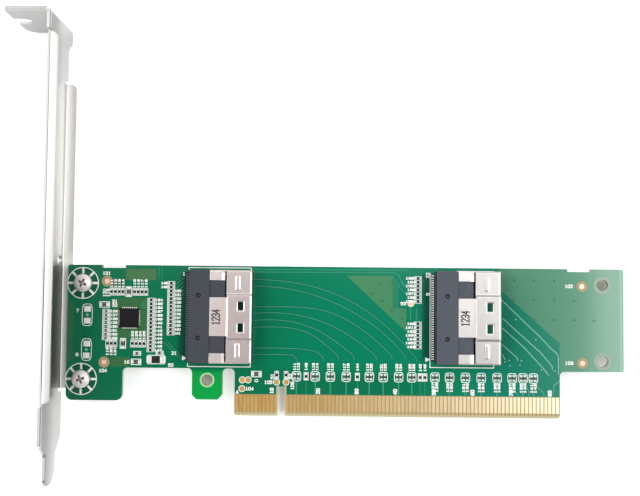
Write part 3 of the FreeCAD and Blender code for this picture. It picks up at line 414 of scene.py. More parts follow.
# Painted sheen: the gold turns from deep at the key notch to pale at the far end.
feed(finger_gold, Base_Color=x.step(-20, 72).mix(rub.mix((0.68, 0.40, 0.10), (0.82, 0.545, 0.185)),
                                                rub.mix((0.84, 0.72, 0.46), (0.92, 0.81, 0.61))),
     Roughness=rub * 0.12 + 0.27, Normal=bump(rub, 0.002))

tail_tin, place, (x, y, z) = finish("tail_tin", Metallic=0.7)
# Painted shade: the tails' shoulders are painted black, and the first receptacle's feet dark grey.
foot_tin_and_painted_shade = x.step(38.7, 38.8).mix((0.14, 0.18, 0.16), (0.95, 0.97, 0.93))
feed(tail_tin, Base_Color=z.step(1.15, 0.95).mix((0.03, 0.03, 0.03), foot_tin_and_painted_shade),
     Roughness=grain(place, 5.0) * 0.2 + 0.35)

bare_metal = {"buffer_chip_leads": tin, "contact_fingers_front": finger_gold, "contact_fingers_back": finger_gold,
              "receptacle_1_contact_tails": tail_tin, "receptacle_2_contact_tails": tail_tin,
              "receptacle_1_contact_tips": tip_gold, "receptacle_2_contact_tips": tip_gold}
for name, material in bare_metal.items():
    nodes[name].data.materials[0] = material
print(len(bare_metal), "nodes are metal")

# %% [markdown]
# ## Moulded plastics and ceramics
# The buffer chip is matte black epoxy, chip capacitors are brown ceramic, chip resistors black glass, but grey in the
# leftmost column: one function with other numbers. The housings are slate plastic with a fine spark-eroded grain,
# and the second one's tones are painted lighter than the first's, painted light. A painted shade darkens a rim round
# their ejector marks, and painted shadow blackens their back edge and the plastic below the shell's gaps.

# %% Plastic and ceramic finishes


def moulding(name, dark, light, roughness, scale, depth, shine=0.25, faded=None):
    """An opaque moulding: colour drifts between two tones, and a fine grain roughens the skin. It is grey where x in
    mm lies below a faded limit."""
    material, place, (x, _, _) = finish(name, Specular_IOR_Level=shine)
    fine = grain(place, scale)
    tone = (fine * 0.6 + grain(place, 0.3) * 0.4).mix(dark, light)
    if faded is not None:
        tone = x.step(faded + 0.2, faded).mix(tone, (0.13, 0.17, 0.15))
    return feed(material, Base_Color=tone, Roughness=roughness - 0.08 + fine * 0.16, Normal=bump(fine, depth))


chip_case = moulding("chip_case", (0.009, 0.009, 0.009), (0.017, 0.016, 0.016), 0.6, 9.0, 0.01, 0.08)
capacitor_brown = moulding("capacitor_brown", (0.085, 0.058, 0.049), (0.16, 0.115, 0.098), 0.5, 6.0, 0.01)
resistor_black = moulding("resistor_black", (0.005, 0.005, 0.006), (0.014, 0.014, 0.016), 0.4, 6.0, 0.01, faded=-45.6)

housing_plastic, place, (x, y, z) = finish("housing_plastic", Specular_IOR_Level=0.3)
eroded = grain(place, 2.2, detail=5.0)
ejector_marks = np.concatenate([RECEPTACLES + (2.8, side) for side in (-5.45, 5.45)])
# Painted shade: a dark rim round each ejector mark.
painted_mark_shade = slab(nearest(place, ejector_marks), 0.28, 0.62, 0.06)
# Painted light: the second housing's slate, and the green low inside it, are painted lighter than the first's.
slate = x.step(-10, 40).mix(eroded.mix((0.016, 0.022, 0.032), (0.058, 0.068, 0.084)),
                            eroded.mix((0.036, 0.046, 0.062), (0.092, 0.106, 0.130)))
inside = z.step(1.9, 1.6).mix(slate, x.step(0, 20).mix((0.003, 0.055, 0.034), (0.012, 0.17, 0.12)))
first, second = RECEPTACLES[:, 0]
# Painted shadow: each housing's back edge is painted black.
painted_back_shadow = x.step(second + 0.16, second + 0.06) * x.step(20, 21) + x.step(first + 0.16, first + 0.06)
# Painted shadow: the plastic below the shell's gaps is painted black.
painted_gap_shadow = slab(x, -15.2, -13.7, 0.05) * z.step(5.6, 5.4) + slab(x, 49.0, 50.8, 0.05)
feed(housing_plastic, Base_Color=(painted_mark_shade * z.step(5.5, 5.6) + painted_back_shadow + painted_gap_shadow).mix(inside, (0.003, 0.003, 0.004)),
     Roughness=eroded * 0.2 + 0.42, Normal=bump(eroded, 0.02))
print("mouldings ready")

# %% [markdown]
# ## Rounded edges
# Mouldings and folded sheet never have razor edges, and the thin bright line along an edge is what makes a thing look
# solid. A CAD node's mesh is loose triangles, so a copy is merged first, and a Bevel modifier rounds what is sharp.

# %% Rounded copies of the bracket, housings and chip


def round_off(made, width, angle):
    """A Bevel modifier of a width in mm on every edge sharper than an angle in degrees; flat faces stay flat."""
    edge = made.modifiers.new("edges", "BEVEL")
    edge.width, edge.segments, edge.angle_limit = width * 0.001, 2, math.radians(angle)
    edge.use_clamp_overlap, edge.harden_normals = False, True


def rounded(node, name, width, material):
    """A merged copy of a node with its sharp edges rounded by so many mm; it stands for the node."""
    work = bmesh.new()
    work.from_mesh(nodes[node].data)
    bmesh.ops.remove_doubles(work, verts=work.verts, dist=1e-6)
    mesh = bpy.data.meshes.new(name)
    work.to_mesh(mesh)
    work.free()
    mesh.attributes.remove(mesh.attributes["custom_normal"])
    mesh.shade_smooth()
    mesh.set_sharp_from_angle(angle=math.radians(30))
    mesh.materials.clear()
    mesh.materials.append(material)
    made = bpy.data.objects.new(name, mesh)
    scene.collection.objects.link(made)
    round_off(made, width, 35)
    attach(made, "root")
    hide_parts(node)
    print(name, len(mesh.polygons), "faces before rounding")


rounded("bracket", "folded_bracket", 0.05, bracket_steel)
rounded("receptacle_1_housing", "receptacle_1_moulding", 0.14, housing_plastic)
rounded("receptacle_2_housing", "receptacle_2_moulding", 0.14, housing_plastic)
rounded("buffer_chip", "buffer_chip_case", 0.04, chip_case)

# %% [markdown]
# ## Pressed shells
# A receptacle's shell is one piece of sheet: a tool cuts it, presses a crown and two ribs into it and folds its sides
# down. Here it is the same: a flat grid of cells, from which slots, gaps and windows are left out, a height for the
# pressing, and a fold that turns the distance along the sheet into a way across the top, round a bend and down the
# wall. Solidify gives the sheet its thickness, and Bevel eases the cut edges.

# %% One sheet, cut, pressed and folded
# In mm: half the shell's width, its bend, sheet and top; along x from the receptacle's back edge, where the sheet
# starts, its gap, crest and mouth; away from the middle, the edges of strap and tab; then legs and windows
HALF, BEND, SHEET, SHEET_TOP = 11.9, 0.32, 0.3, 6.0
FLAT, ARC = HALF - BEND, BEND * math.pi / 2
WALL = FLAT + ARC + SHEET_TOP - BEND - BOARD_TOP
BACK, GAP, CREST, MOUTH = 5.63, (9.55, 9.95), 10.25, 16.4
STRAP, TAB = 4.95, 9.3
LEGS, LEG_HALF, LEG = (7.2, 14.4), 0.65, 2.1
WINDOW, WINDOW_HALF = (13.6, 2.77), (0.7, 1.05)


def piece(name, parts, material):
    """One object from several (points in mm, faces) parts, riding on the card."""
    starts = np.cumsum([0] + [len(points) for points, _ in parts])
    faces = [[start + v for v in face] for start, (_, some) in zip(starts, parts) for face in some]
    mesh = bpy.data.meshes.new(name)
    mesh.from_pydata((np.concatenate([points for points, _ in parts]) * 0.001).tolist(), [], faces)
    mesh.materials.append(material)
    made = bpy.data.objects.new(name, mesh)
    scene.collection.objects.link(made)
    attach(made, "root")
    print(name, len(faces), "faces")
    return made


def rise(value, low, high):
    """0 below low, 1 above high, and three t squared minus two t cubed between: a soft step for arrays."""
    t = np.clip((value - low) / (high - low), 0, 1)
    return t * t * (3 - 2 * t)


def stations(stops, gap):
    """Grid lines through all the stops, with equal steps of at most a gap between neighbours."""
    runs = [np.linspace(a, b, math.ceil((b - a) / gap), endpoint=False) for a, b in zip(stops, stops[1:])]
    return np.concatenate(runs + [stops[-1:]])


def pressed(x, away):
    """Height of the pressing over the flat sheet: crown with sloped sides, two ribs, tabs that dip at their tips, and
    lips turned in at the windows and at the mouth."""
    crown = 0.4 * rise(-away, -5.9, -5.4) * rise(x, GAP[1], CREST)
    rib = 0.10 * rise(-np.abs(x - 12.85), -0.62, -0.34) * rise(-np.abs(away - 8.6), -1.82, -1.54)
    near = np.hypot(np.maximum(np.abs(x - WINDOW[0]) - WINDOW_HALF[0], 0),
                    np.maximum(np.abs(away - WINDOW[1]) - WINDOW_HALF[1], 0))
    lip = 0.10 * (1 - rise(near, 0, 0.24)) * rise(x, 12, 12.5) + 0.14 * rise(x, 16.0, MOUTH)
    dip = 0.13 * rise(x, 8.5, 9.6) * (away > 9.2) * (x < 9.6)
    return crown + rib - lip - dip


def kept(x, away):
    """Which cells the cutting tool leaves: no slots beside the strap, gaps, windows, or wall between the legs."""
    slot = (x < GAP[0]) & (away > STRAP) & (away < TAB)
    gap = (x > GAP[0]) & (x < GAP[1]) & (away > STRAP) & (away < FLAT)
    window = (np.abs(x - WINDOW[0]) < WINDOW_HALF[0]) & (np.abs(away - WINDOW[1]) < WINDOW_HALF[1])
    legless = (away > WALL) & (np.minimum(*(np.abs(x - leg) for leg in LEGS)) > LEG_HALF)
    return ~(slot | gap | window | legless)


def shell(node, name, start, material):
    """A folded shell whose own x and y begin at a start: the sheet's two directions are x and s."""
    x = stations([BACK, 6.55, 7.85, *GAP, 10.02, 10.1, 10.18, CREST, 12.23, 12.9, 13.75, 14.3, 15.05, 16.0, MOUTH],
                 0.16)
    side = stations([0, 1.72, 3.82, STRAP, 5.4, 5.5, 5.6, 5.7, 5.8, 5.9, 6.78, TAB, 10.42, FLAT, FLAT + ARC, WALL,
                     WALL + LEG], 0.18)
    s = np.concatenate([-side[:0:-1], side])
    gx, gs = np.meshgrid(x, s, indexing="ij")
    away = np.abs(gs)
    turn = np.clip(away - FLAT, 0, ARC) / BEND
    y = np.sign(gs) * (np.minimum(away, FLAT) + BEND * np.sin(turn))
    z = SHEET_TOP - BEND * (1 - np.cos(turn)) - np.maximum(away - FLAT - ARC, 0)
    z += np.where(away < FLAT, pressed(gx, away), 0)
    points = np.stack([gx + start[0], y + start[1], z], -1).reshape(-1, 3)
    i, k = np.nonzero(kept((gx[1:, 1:] + gx[:-1, :-1]) / 2, np.abs(gs[1:, 1:] + gs[:-1, :-1]) / 2))
    first = i * len(s) + k
    quads = np.stack([first, first + len(s), first + len(s) + 1, first + 1], 1)
    used, quads = np.unique(quads, return_inverse=True)
    made = piece(name, [(points[used], quads.reshape(-1, 4).tolist())], material)
    made.data.shade_smooth()
    sheet = made.modifiers.new("sheet", "SOLIDIFY")
    sheet.thickness, sheet.offset = SHEET * 0.001, -1
    round_off(made, 0.05, 50)
    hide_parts(node)


shell("receptacle_1_shell", "receptacle_1_pressed_shell", RECEPTACLES[0], shell_pink)
shell("receptacle_2_shell", "receptacle_2_pressed_shell", RECEPTACLES[1], shell_plain)

# %% [markdown]
# ## Thin solids from stacked outlines
# Prints, pads, screws and chip parts are all stacks of closed outlines. One function turns such stacks into closed
# solids: neighbouring outlines are joined by walls, and the first and last are capped. Working on a whole array of
# stacks at once makes hundreds of pieces with no loop over points.

# %% From stacks of outlines to solids


def loft(stacks):
    """Closed solids from an array (solid, level, point, xyz) in mm: walls join levels, caps close both ends."""
    count, levels, points = stacks.shape[:3]
    i = np.arange(points)
    ring = np.stack([i, (i + 1) % points, (i + 1) % points + points, i + points], 1)
    walls = (ring + np.arange(levels - 1)[:, None, None] * points).reshape(-1, 4)
    first = (np.arange(count) * levels * points)[:, None]
    faces = (first[:, :, None] + walls).reshape(-1, 4).tolist()
    faces += (first + i[::-1]).tolist() + (first + i + (levels - 1) * points).tolist()
    return stacks.reshape(-1, 3), faces


def raised(outlines, height):
    """Outlines (item, point, xy) with a third coordinate: one height for all, or one for each item."""
    return np.concatenate([outlines, np.broadcast_to(np.reshape(height, (-1, 1, 1)), outlines.shape[:2] + (1,))], 2)


def staggered(count, height):
    """Heights for items that may cross: sixteen levels, a thousandth of a mm or so apart, so no two tops coincide."""
    return height + np.arange(count) % 16 * 0.0015


def plates(outlines, low, high, inset=0.0):
    """Flat plates from outlines (plate, point, xy) that run anticlockwise, between two heights. With an inset the
    upper edge is chamfered by shrinking the top outline towards its middle."""
    middle = outlines.mean(1, keepdims=True)
    reach = np.abs(outlines - middle).max(1, keepdims=True)
    top = middle + (outlines - middle) * (1 - inset / reach)
    levels = [(outlines, low), (outlines, high - inset), (top, high)] if inset else [(outlines, low), (outlines, high)]
    return loft(np.stack([raised(o, h) for o, h in levels], 1))


print("board top at", BOARD_TOP, "mm")

# %% [markdown]
# ## Screws
# Two pan-head screws hold the board to the bracket. A screw is a profile turned round its axis, from the tip of the
# shank to the middle of the head. The cross recess is pressed into the turned head: two crossed bars of depth, each
# the product of a soft step across and one along.

# %% Turned heads with a pressed cross
HEAD, SHANK, RIM, RECESS = 2.35, 1.25, 1.3, 0.85


def turned_screw(middle, twist):
    """Rings of the profile (radius, height) about a middle, with the cross pressed in, turned by a twist."""
    head = np.linspace(HEAD - 0.02, 0.03, 44)
    dome = RIM + 0.05 + 1.05 * (1 - (head / HEAD) ** 2.4) ** 0.55
    radius = np.concatenate([[0.9, SHANK, SHANK, 2.2, HEAD, HEAD], head])
    height = np.concatenate([[-2.3, -2.0, BOARD_TOP, BOARD_TOP, 0.95, RIM], dome])
    angle = np.linspace(0, math.tau, 96, endpoint=False)
    across, along = (np.abs(radius[:, None] * f(angle - twist)) for f in (np.sin, np.cos))
    bar = [rise(-a, -0.33, -0.20) * rise(-b, -1.25, -0.95) for a, b in ((across, along), (along, across))]
    cross = np.maximum(*bar) * (height > RIM)[:, None]
    ring = np.stack([radius[:, None] * np.cos(angle) + middle[0], radius[:, None] * np.sin(angle) + middle[1],
                     height[:, None] - RECESS * cross], -1)
    return loft(ring[None]), cross.ravel()


turned = [turned_screw(m, t) for m, t in zip(SCREWS, (0.35, 1.1))]
heads = piece("pan_head_screws", [solid for solid, _ in turned], screw_steel)
heads.data.attributes.new("pressed", "FLOAT", "POINT").data.foreach_set("value", np.concatenate([c for _, c in turned]))
heads.data.shade_smooth()
heads.data.set_sharp_from_angle(angle=math.radians(50))
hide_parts("bracket_screws")

# %% [markdown]
# ## Chip parts
# A chip resistor or capacitor is a ceramic block with two tinned ends, each held by a small fillet of solder. CAD
# has only the block, so its place and size are read from the node: every block is 12 triangles. The body keeps the
# middle, two chamfered caps stand slightly proud of it, and a wedge of solder leans on each end.

# %% Reading the blocks


def blocks(name):
    """Middle, long half axis, short half axis and height of every block in a node, in mm."""
    mesh = nodes[name].data
    points, corners = np.empty(len(mesh.vertices) * 3), np.empty(len(mesh.polygons) * 3, int)
    mesh.vertices.foreach_get("co", points)
    mesh.polygons.foreach_get("vertices", corners)
    solid = points.reshape(-1, 3)[corners].reshape(-1, 36, 3) * 1000
    low, high = solid.min(1), solid.max(1)
    half = (high - low)[:, :2] / 2
    wide = (half[:, :1] > half[:, 1:]).astype(float)
    long_axis = np.concatenate([wide, 1 - wide], 1) * half
    return (low + high)[:, :2] / 2, long_axis, half - long_axis, (high - low)[:, 2]


def rectangles(middle, along, across):
    """Anticlockwise rectangles from middles and two half axes; the sign keeps them anticlockwise."""
    turn = np.sign(along[:, :1] * across[:, 1:] - along[:, 1:] * across[:, :1])
    across = across * turn
    return np.stack([middle - along - across, middle + along - across,
                     middle + along + across, middle - along + across], 1)


chips = {name: blocks(name) for name in ("coupling_capacitors", "filter_capacitors", "setting_resistors",
                                         "strap_resistors", "power_link")}
PAIRED = 32
pair_chips, lone_chips = ([part[:PAIRED] for part in chips["coupling_capacitors"]],
                          [part[PAIRED:] for part in chips["coupling_capacitors"]])
loose_chips = [np.array([(-37.6, 15.8), (-31.75, 15.95)]), np.tile((0.5, 0.0), (2, 1)), np.tile((0.0, 0.25), (2, 1)),
               chips["filter_capacitors"][3][:2]]
print({name: len(found[0]) for name, found in chips.items()})

# %% Bodies, caps and solder


def chip_bodies(name, found, material, slot, *stood_for):
    """Ceramic middles of some chips as one piece."""
    middle, along, across, height = found
    outline = rectangles(middle, along * 0.75, across * 0.94)
    made = piece(name, [plates(outline, BOARD_TOP, BOARD_TOP + height[0] * 0.94, height[0] * 0.06)], material)
    if stood_for:
        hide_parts(*stood_for)


def chip_caps(middle, along, across, height):
    """Tinned caps and their solder: a chamfered plate at each end and a wedge that leans on it."""
    parts, tall = [], height[0]
    for sign in (-1, 1):
        cap = rectangles(middle + along * 0.83 * sign, along * 0.17, across)
        parts.append(plates(cap, BOARD_TOP, BOARD_TOP + tall, tall * 0.12))
        foot = np.stack([middle + along * s for s in (0.95 * sign, 1.3 * sign, 0.95 * sign)], 1)
        lift = np.broadcast_to(np.array([0.0, 0.0, 0.6 * tall])[:, None] + BOARD_TOP, foot.shape[:2] + (1,))
        wedge_side = np.concatenate([foot, lift], 2)
        shift = np.concatenate([across * 0.95, np.zeros_like(across[:, :1])], 1)[:, None]
        turn = np.sign(np.cross(along * sign, across))[:, None, None]
        parts.append(loft(np.stack([wedge_side + shift * turn, wedge_side - shift * turn], 1)))
    return parts


brown, black = (capacitor_brown, "capacitor_body"), (resistor_black, "resistor_body")
chip_bodies("coupling_capacitor_bodies", pair_chips, *brown, "coupling_capacitors")
chip_bodies("lone_chip_bodies", lone_chips, *black)
chip_bodies("filter_capacitor_bodies", chips["filter_capacitors"], *brown, "filter_capacitors")
chip_bodies("loose_capacitor_bodies", loose_chips, *brown)
chip_bodies("setting_resistor_bodies", chips["setting_resistors"], *black, "setting_resistors")
chip_bodies("strap_resistor_bodies", chips["strap_resistors"], *black, "strap_resistors")
chip_bodies("power_link_body", chips["power_link"], *black, "power_link")
piece("chip_ends", [part for found in (*chips.values(), loose_chips) for part in chip_caps(*found)], tin)

# %% [markdown]
# ## Copper traces
# Under the lacquer the traces show as paler lines, with darker gaps beside them where the copper is etched away. They
# run straight out of the first receptacle, sweep down to the coupling capacitors and end in a hook. Each sweep is a
# cubic curve with four control points, and a flat ribbon is carried along it: the path's own normal, times half the
# width, gives the two edges. Every ribbon's top is a hair higher than the last, because tops that coincide go black.

# %% Ribbons along paths


def ribbon(path, width, low, high):
    """A closed ribbon: at every path point the profile is a rectangle set square to the path's direction."""
    path = np.asarray(path, float)
    along = np.gradient(path, axis=0)
    side = np.stack([-along[:, 1], along[:, 0]], 1) / np.linalg.norm(along, axis=1, keepdims=True) * width / 2
    profile = [(path - side, low), (path + side, low), (path + side, high), (path - side, high)]
    rails = [np.column_stack([edge, np.full(len(path), h)]) for edge, h in profile]
    return loft(np.stack(rails, 1)[None, :, ::-1])


def sweep(p0, p1, p2, p3, count=28):
    """Points of a cubic curve: the four control points weighted by the Bernstein terms of t."""
    t = np.linspace(0, 1, count)[:, None]
    return (1 - t) ** 3 * p0 + 3 * (1 - t) ** 2 * t * p1 + 3 * (1 - t) * t ** 2 * p2 + t ** 3 * p3


fan = np.array([
    ((-7.7, 35.3), (11.4, 35.4), (23.7, 28.8), (34.3, 15.9)),
    ((-7.7, 33.5), (9.3, 34.1), (24.4, 25.2), (31.4, 16.5)),
    ((-7.7, 28.2), (7.7, 28.1), (13.7, 30.1), (27.9, 16.5)),
    ((-7.7, 26.45), (8.0, 27.9), (16.7, 22.1), (23.8, 16.3)),
    ((-7.7, 24.6), (5.7, 26.0), (11.9, 21.1), (18.0, 16.3)),
    ((-7.7, 22.85), (6.3, 23.6), (7.7, 21.5), (14.0, 16.3)),
    ((-7.7, 17.5), (6.5, 17.6), (8.2, 17.3), (10.1, 15.9)),
    ((-7.7, 15.8), (1.2, 15.9), (2.2, 15.9), (3.2, 15.5)),
])
hook = np.array([(0.55, -0.65), (0.75, -1.05), (0.8, -1.55)])
arcs = [np.concatenate([sweep(*p), p[3] + hook]) for p in fan]
runs = [[(-7.4, 37.95), (33, 38.05)], [(-7.4, 37.25), (29.3, 37.4), (30.4, 36.5), (31.2, 35.0), (31.9, 33.9)],
        [(33.4, 28.3), (33.4, 25.1)], [(34.95, 28.3), (34.95, 25.1)]]
right_runs = [[(57.06, 30.55), (67.35, 20.76), (69.83, 18.1), (71.43, 16.75), (71.82, 15.92), (71.8, 11.3)],
              [(57.37, 25.75), (67.42, 16.78), (70.21, 13.4), (70.25, 12.55)],
              [(57.26, 23.28), (62.63, 18.55), (67.8, 13.04), (69.34, 11.05)],
              [(57.26, 18.98), (61.15, 15.56), (61.33, 14.84)], [(57.26, 16.5), (57.96, 15.12)],
              [(63.02, 8.82), (64.11, 7.08), (64.1, 5.5)], [(65.4, 8.9), (67.78, 6.86), (68.19, 5.5)],
              [(60.23, 7.2), (61.62, 5.5)], [(72.08, 9.74), (70.58, 8.49), (70.57, 6.0)]]
thin_runs = [[(29.2, 35.8), (29.2, 25.2)], [(29.66, 35.4), (29.66, 24.0)], [(30.1, 35.2), (30.1, 24.2)],
             [(30.5, 34.8), (30.5, 33.6), (32.0, 31.8)], [(30.9, 35.6), (30.9, 34.8), (32.0, 33.6)]]
thin_runs += [[(-27.6, y), (-25.85, y + 1.75)] for y in np.arange(29.6, 36.4, 1.05)]
thin_runs += [[(-37.2 + d, 28.0 - d * 0.5), (-35.4 + d, 29.9 - d * 0.5)] for d in (0.0, 0.5, 1.0)]
thin_runs += [[(-30.6 + d, 18.7), (-27.0 + d, 15.1), (-25.6, 14.0 + d)] for d in (0.0, 0.9)]
thin_runs += [[(a, 38.2), (a, 35.2)] for a in (-32.3, -31.5)]
pairs = pair_chips[0].reshape(16, 2, 2).mean(1)
stubs = [[(a, 9.0), (a, 5.5)] for a in pairs[:, 0]]
thin_runs += [[(a, 9.0), (a, 5.5)] for a in lone_chips[0][:, 0]]
print(len(fan), "sweeps and", len(runs) + len(right_runs) + len(thin_runs) + len(stubs), "straight runs")

# %% Traces and via dots under the lacquer
trace_mask, place, (x, y, z) = finish("trace_mask", Roughness=0.3, Specular_IOR_Level=0.2)
pale_line = x.step(56, 57) * y.step(4.0, 14.0)
feed(trace_mask, Base_Color=pale_line.mix(grain(place, 0.6).mix((0.020, 0.235, 0.150), (0.045, 0.290, 0.190)),
                                          (0.20, 0.46, 0.34)), Normal=bump(grain(place, 3.0), 0.01))
TRACE = (BOARD_TOP - 0.02, BOARD_TOP + 0.012)
TRACK, STUB, THIN, ETCHED = 0.24, 0.36, 0.16, 0.5
groups = ((arcs + runs + right_runs, TRACK), (stubs, STUB), (thin_runs, THIN))
paths = [(path, width) for group, width in groups for path in group]
tops = staggered(len(paths), TRACE[1])
piece("board_traces", [ribbon(p, w, TRACE[0], top) for (p, w), top in zip(paths, tops)], trace_mask)
gap_mask = coat("gap_mask", 0.2, 0.6, (0.001, 0.085, 0.042), (0.001, 0.125, 0.062), 3.0)
piece("trace_gaps", [ribbon(p, ETCHED, TRACE[0], top) for p, top in zip(arcs, tops - 0.004)], gap_mask)

# %% [markdown]
# ## Bare pads, rings and dots
# Solder, copper and gold lie bare wherever something is soldered, tested or lined up by machine. Discs and rings are
# superellipses: with a power of two they are round, and a higher power squares them off, as the printed outlines
# round the capacitors are. A ring is a rectangular profile carried round that outline.

# %% Rings, discs and where they lie


def ovals(middles, half, power, count):
    """Outlines (oval, point, xy): cosine and sine, each raised to two over the power, times the half axes."""
    turn = np.linspace(0, math.tau, count, endpoint=False)
    wave = np.stack([np.cos(turn), np.sin(turn)], 1)
    return np.asarray(middles, float)[:, None] + np.sign(wave) * np.abs(wave) ** (2 / power) * half


def discs(middles, radius, low, high, count=24):
    """Flat round plates of one radius about each middle."""
    return plates(ovals(middles, (radius, radius), 2, count), low, high)


def rings(middles, half, width, low, high, power=2.0, count=32):
    """Flat rings: a rectangular profile of a width, carried round an oval about each middle."""
    outer, inner = (ovals(middles, np.array(half) - shrink, power, count) for shrink in (0.0, width))
    top = staggered(len(outer), high)
    corners = [(outer, low), (outer, top), (inner, top), (inner, low)]
    grid = np.stack([raised(o, h) for o, h in corners], 2)
    i, k = np.meshgrid(np.arange(count), np.arange(4), indexing="ij")
    j, n = (i + 1) % count, (k + 1) % 4
    quads = np.stack([i * 4 + k, j * 4 + k, j * 4 + n, i * 4 + n], -1).reshape(-1, 4)
    faces = (np.arange(len(grid))[:, None, None] * count * 4 + quads).reshape(-1, 4)
    return grid.reshape(-1, 3), faces.tolist()


PAD = (BOARD_TOP - 0.02, BOARD_TOP + 0.04)
marks = np.array([(-45.81, 34.5), (-46.19, 13.44), (77.95, 34.23), (78.05, 14.36)])
test_points = np.array([(-10.16, 9.22), (-8.66, 9.23), (-10.23, 6.97), (-1.26, 8.75), (1.2, 8.75), (33.48, 29.41)])
end_holes = np.array([(83.28, 14.85), (83.28, 34.59)])
tab_hole = np.array([(-19.3, 9.1)])
footprints = np.array([(-50.82, 27.21), (-50.83, 24.14), (-50.78, 18.19), (-50.89, 15.13)])
via_places = np.array([(60.4, 35.7), (65.5, 35.7), (70.7, 35.6), (60.2, 30.5), (65.5, 30.6), (70.7, 30.6), (65.5, 25.5),
                       (70.6, 25.5), (76, 25.5), (81.0, 25.4), (75.9, 30.5), (25.3, 34.3), (23.3, 31.8), (26, 30),
                       (28.6, 34.6), (28.5, 27.5), (31.3, 25.4)])
pale_vias = np.array([(60.77, 25.49), (65.95, 20.36), (59.07, 14.92), (59.25, 13.53), (62.23, 14.85), (57.96, 14.5),
                      (61.84, 13.76), (67.41, 12.53), (68.57, 12.02), (70.9, 12.3)])
print(len(marks), "marks,", len(test_points), "test points,", len(via_places), "vias")

# %% Marks, test points, vias and lands
bare_laminate = coat("bare_laminate", 0.5, 2.0, (0.32, 0.22, 0.12), (0.42, 0.31, 0.18))
via_mask = coat("via_mask", 0.3, 2.0, (0.01, 0.07, 0.04), (0.02, 0.11, 0.07))

piece("mark_windows", [rings(marks, (1.42, 1.42), 0.62, PAD[0], PAD[1] - 0.02)], bare_laminate)
piece("mark_copper_dots", [discs(marks, 0.7, *PAD)], mark_copper)
piece("test_points", [discs(test_points, 0.66, *PAD)], finger_gold)
pair_vias = (pairs[:, None] + np.array([(-0.56, -0.76), (0.56, -0.76)])).reshape(-1, 2)
dots = [discs(at, radius, PAD[0], PAD[1] - 0.012, 12) for at, radius in ((via_places, 0.3), (pair_vias, 0.22))]
piece("via_dots", dots, via_mask)
piece("pale_via_dots", [discs(pale_vias, 0.2, PAD[0], PAD[1] + 0.016, 12)], trace_mask)
back_pad, barrel = (-PAD[1], -PAD[0]), (-BOARD_TOP, PAD[1])
plated = [rings(holes, (radius, radius), width, *level, count=48) for holes, radius, width, level in (
    (end_holes, 2.25, 0.72, PAD), (tab_hole, 1.9, 0.42, PAD), (end_holes, 1.52, 0.06, barrel),
    (tab_hole, 1.47, 0.05, barrel), (end_holes, 2.25, 0.72, back_pad), (tab_hole, 1.9, 0.42, back_pad))]
piece("hole_plating", plated, dull_plating)

spoke = np.linspace(0, math.tau, 8, endpoint=False)
radial, normal = np.stack([np.cos(spoke), np.sin(spoke)], 1), np.stack([-np.sin(spoke), np.cos(spoke)], 1)
spokes = [rectangles(s + radial * 3.25, radial * 0.75, normal * 0.30) for s in SCREWS]
lands = rectangles(footprints, np.tile((0.86, 0.0), (4, 1)), np.tile((0.0, 0.75), (4, 1)))
chip_lands = [plates(rectangles(m + a * 1.12 * s, a * 0.42, c * 1.1), PAD[0], PAD[1] - 0.01)
              for m, a, c, _ in (*chips.values(), loose_chips) for s in (-1, 1)]
row = np.linspace(-1.75, 1.75, 8)
chip_middle = np.array((-39.8, 25.0))
chip_rows = [rectangles(chip_middle + turn * row[:, None] + out * 2.55, np.tile(out * 0.26, (8, 1)),
                        np.tile(turn * 0.15, (8, 1))) for out, turn in zip(radial[::2], normal[::2])]
domed = [plates(c, PAD[0], PAD[1] + 0.05, 0.04) for c in chip_rows] + [plates(lands, PAD[0], PAD[1] + 0.1, 0.1)]
piece("solder_lands", domed + [plates(s, *PAD) for s in spokes] + chip_lands, tin)

# %% [markdown]
# ## White print
# Outlines, numbers and pin-one marks are screen-printed in white ink. Every stroke is a short flat bar, so the whole
# print is one array of line ends. Numbers are drawn from a small table of strokes on a grid of four by six. Strokes
# cross, so their tops are staggered like those of the traces.

# %% Strokes and plain digits
DIGITS = {"0": "10 30 41 45 36 16 05 01 10", "1": "15 26 20 10 30", "2": "05 16 36 45 44 00 40",
          "3": "05 16 36 45 44 33 13 33 42 41 30 10 01", "4": "30 36 02 42", "5": "46 06 04 34 43 41 30 10 01",
          "6": "46 26 04 01 10 30 41 42 33 03", "7": "06 46 10", "8": "13 04 05 16 36 45 44 33 13 02 01 10 30 41 42 33",
          "9": "00 20 42 45 36 16 05 04 13 43"}


def number(text, corner, height, turned=False, wide=1.0):
    """Line ends (stroke, x0 y0 x1 y1) for a plain number whose lower left is at a corner, its digits widened by a
    factor; turned reads upwards."""
    strokes = []
    for place, digit in enumerate(text):
        grid = np.array([[int(c) for c in point] for point in DIGITS[digit].split()], float)
        grid[:, 0] = (grid[:, 0] + place * 6) * wide
        strokes.append(np.concatenate([grid[:-1], grid[1:]], 1))
    line = np.concatenate(strokes) * height / 6
    if turned:
        line = np.stack([-line[:, 1], line[:, 0], -line[:, 3], line[:, 2]], 1)
    return line + np.tile(corner, 2)


def bars(lines, width, low, high):
    """Flat bars from line ends: each end steps half a width onwards and half a width to either side."""
    a, b = lines[:, :2], lines[:, 2:]
    along = (b - a) / np.linalg.norm(b - a, axis=1, keepdims=True) * width / 2
    outline = rectangles((a + b) / 2, (b - a) / 2 + along, np.stack([-along[:, 1], along[:, 0]], 1))
    return plates(outline, low, staggered(len(lines), high))


def frames(middle, along, across):
    """Line ends of the four sides of rectangles given by middles and half axes."""
    corner = rectangles(middle, along, across)
    return np.concatenate([corner, np.roll(corner, -1, 1)], 2).reshape(-1, 4)


def grown(axis, margin):
    """Half axes made longer by a margin in mm."""
    return axis * (1 + margin / np.linalg.norm(axis, axis=1, keepdims=True))


print("digit 8 has", len(DIGITS["8"].split()) - 1, "strokes")

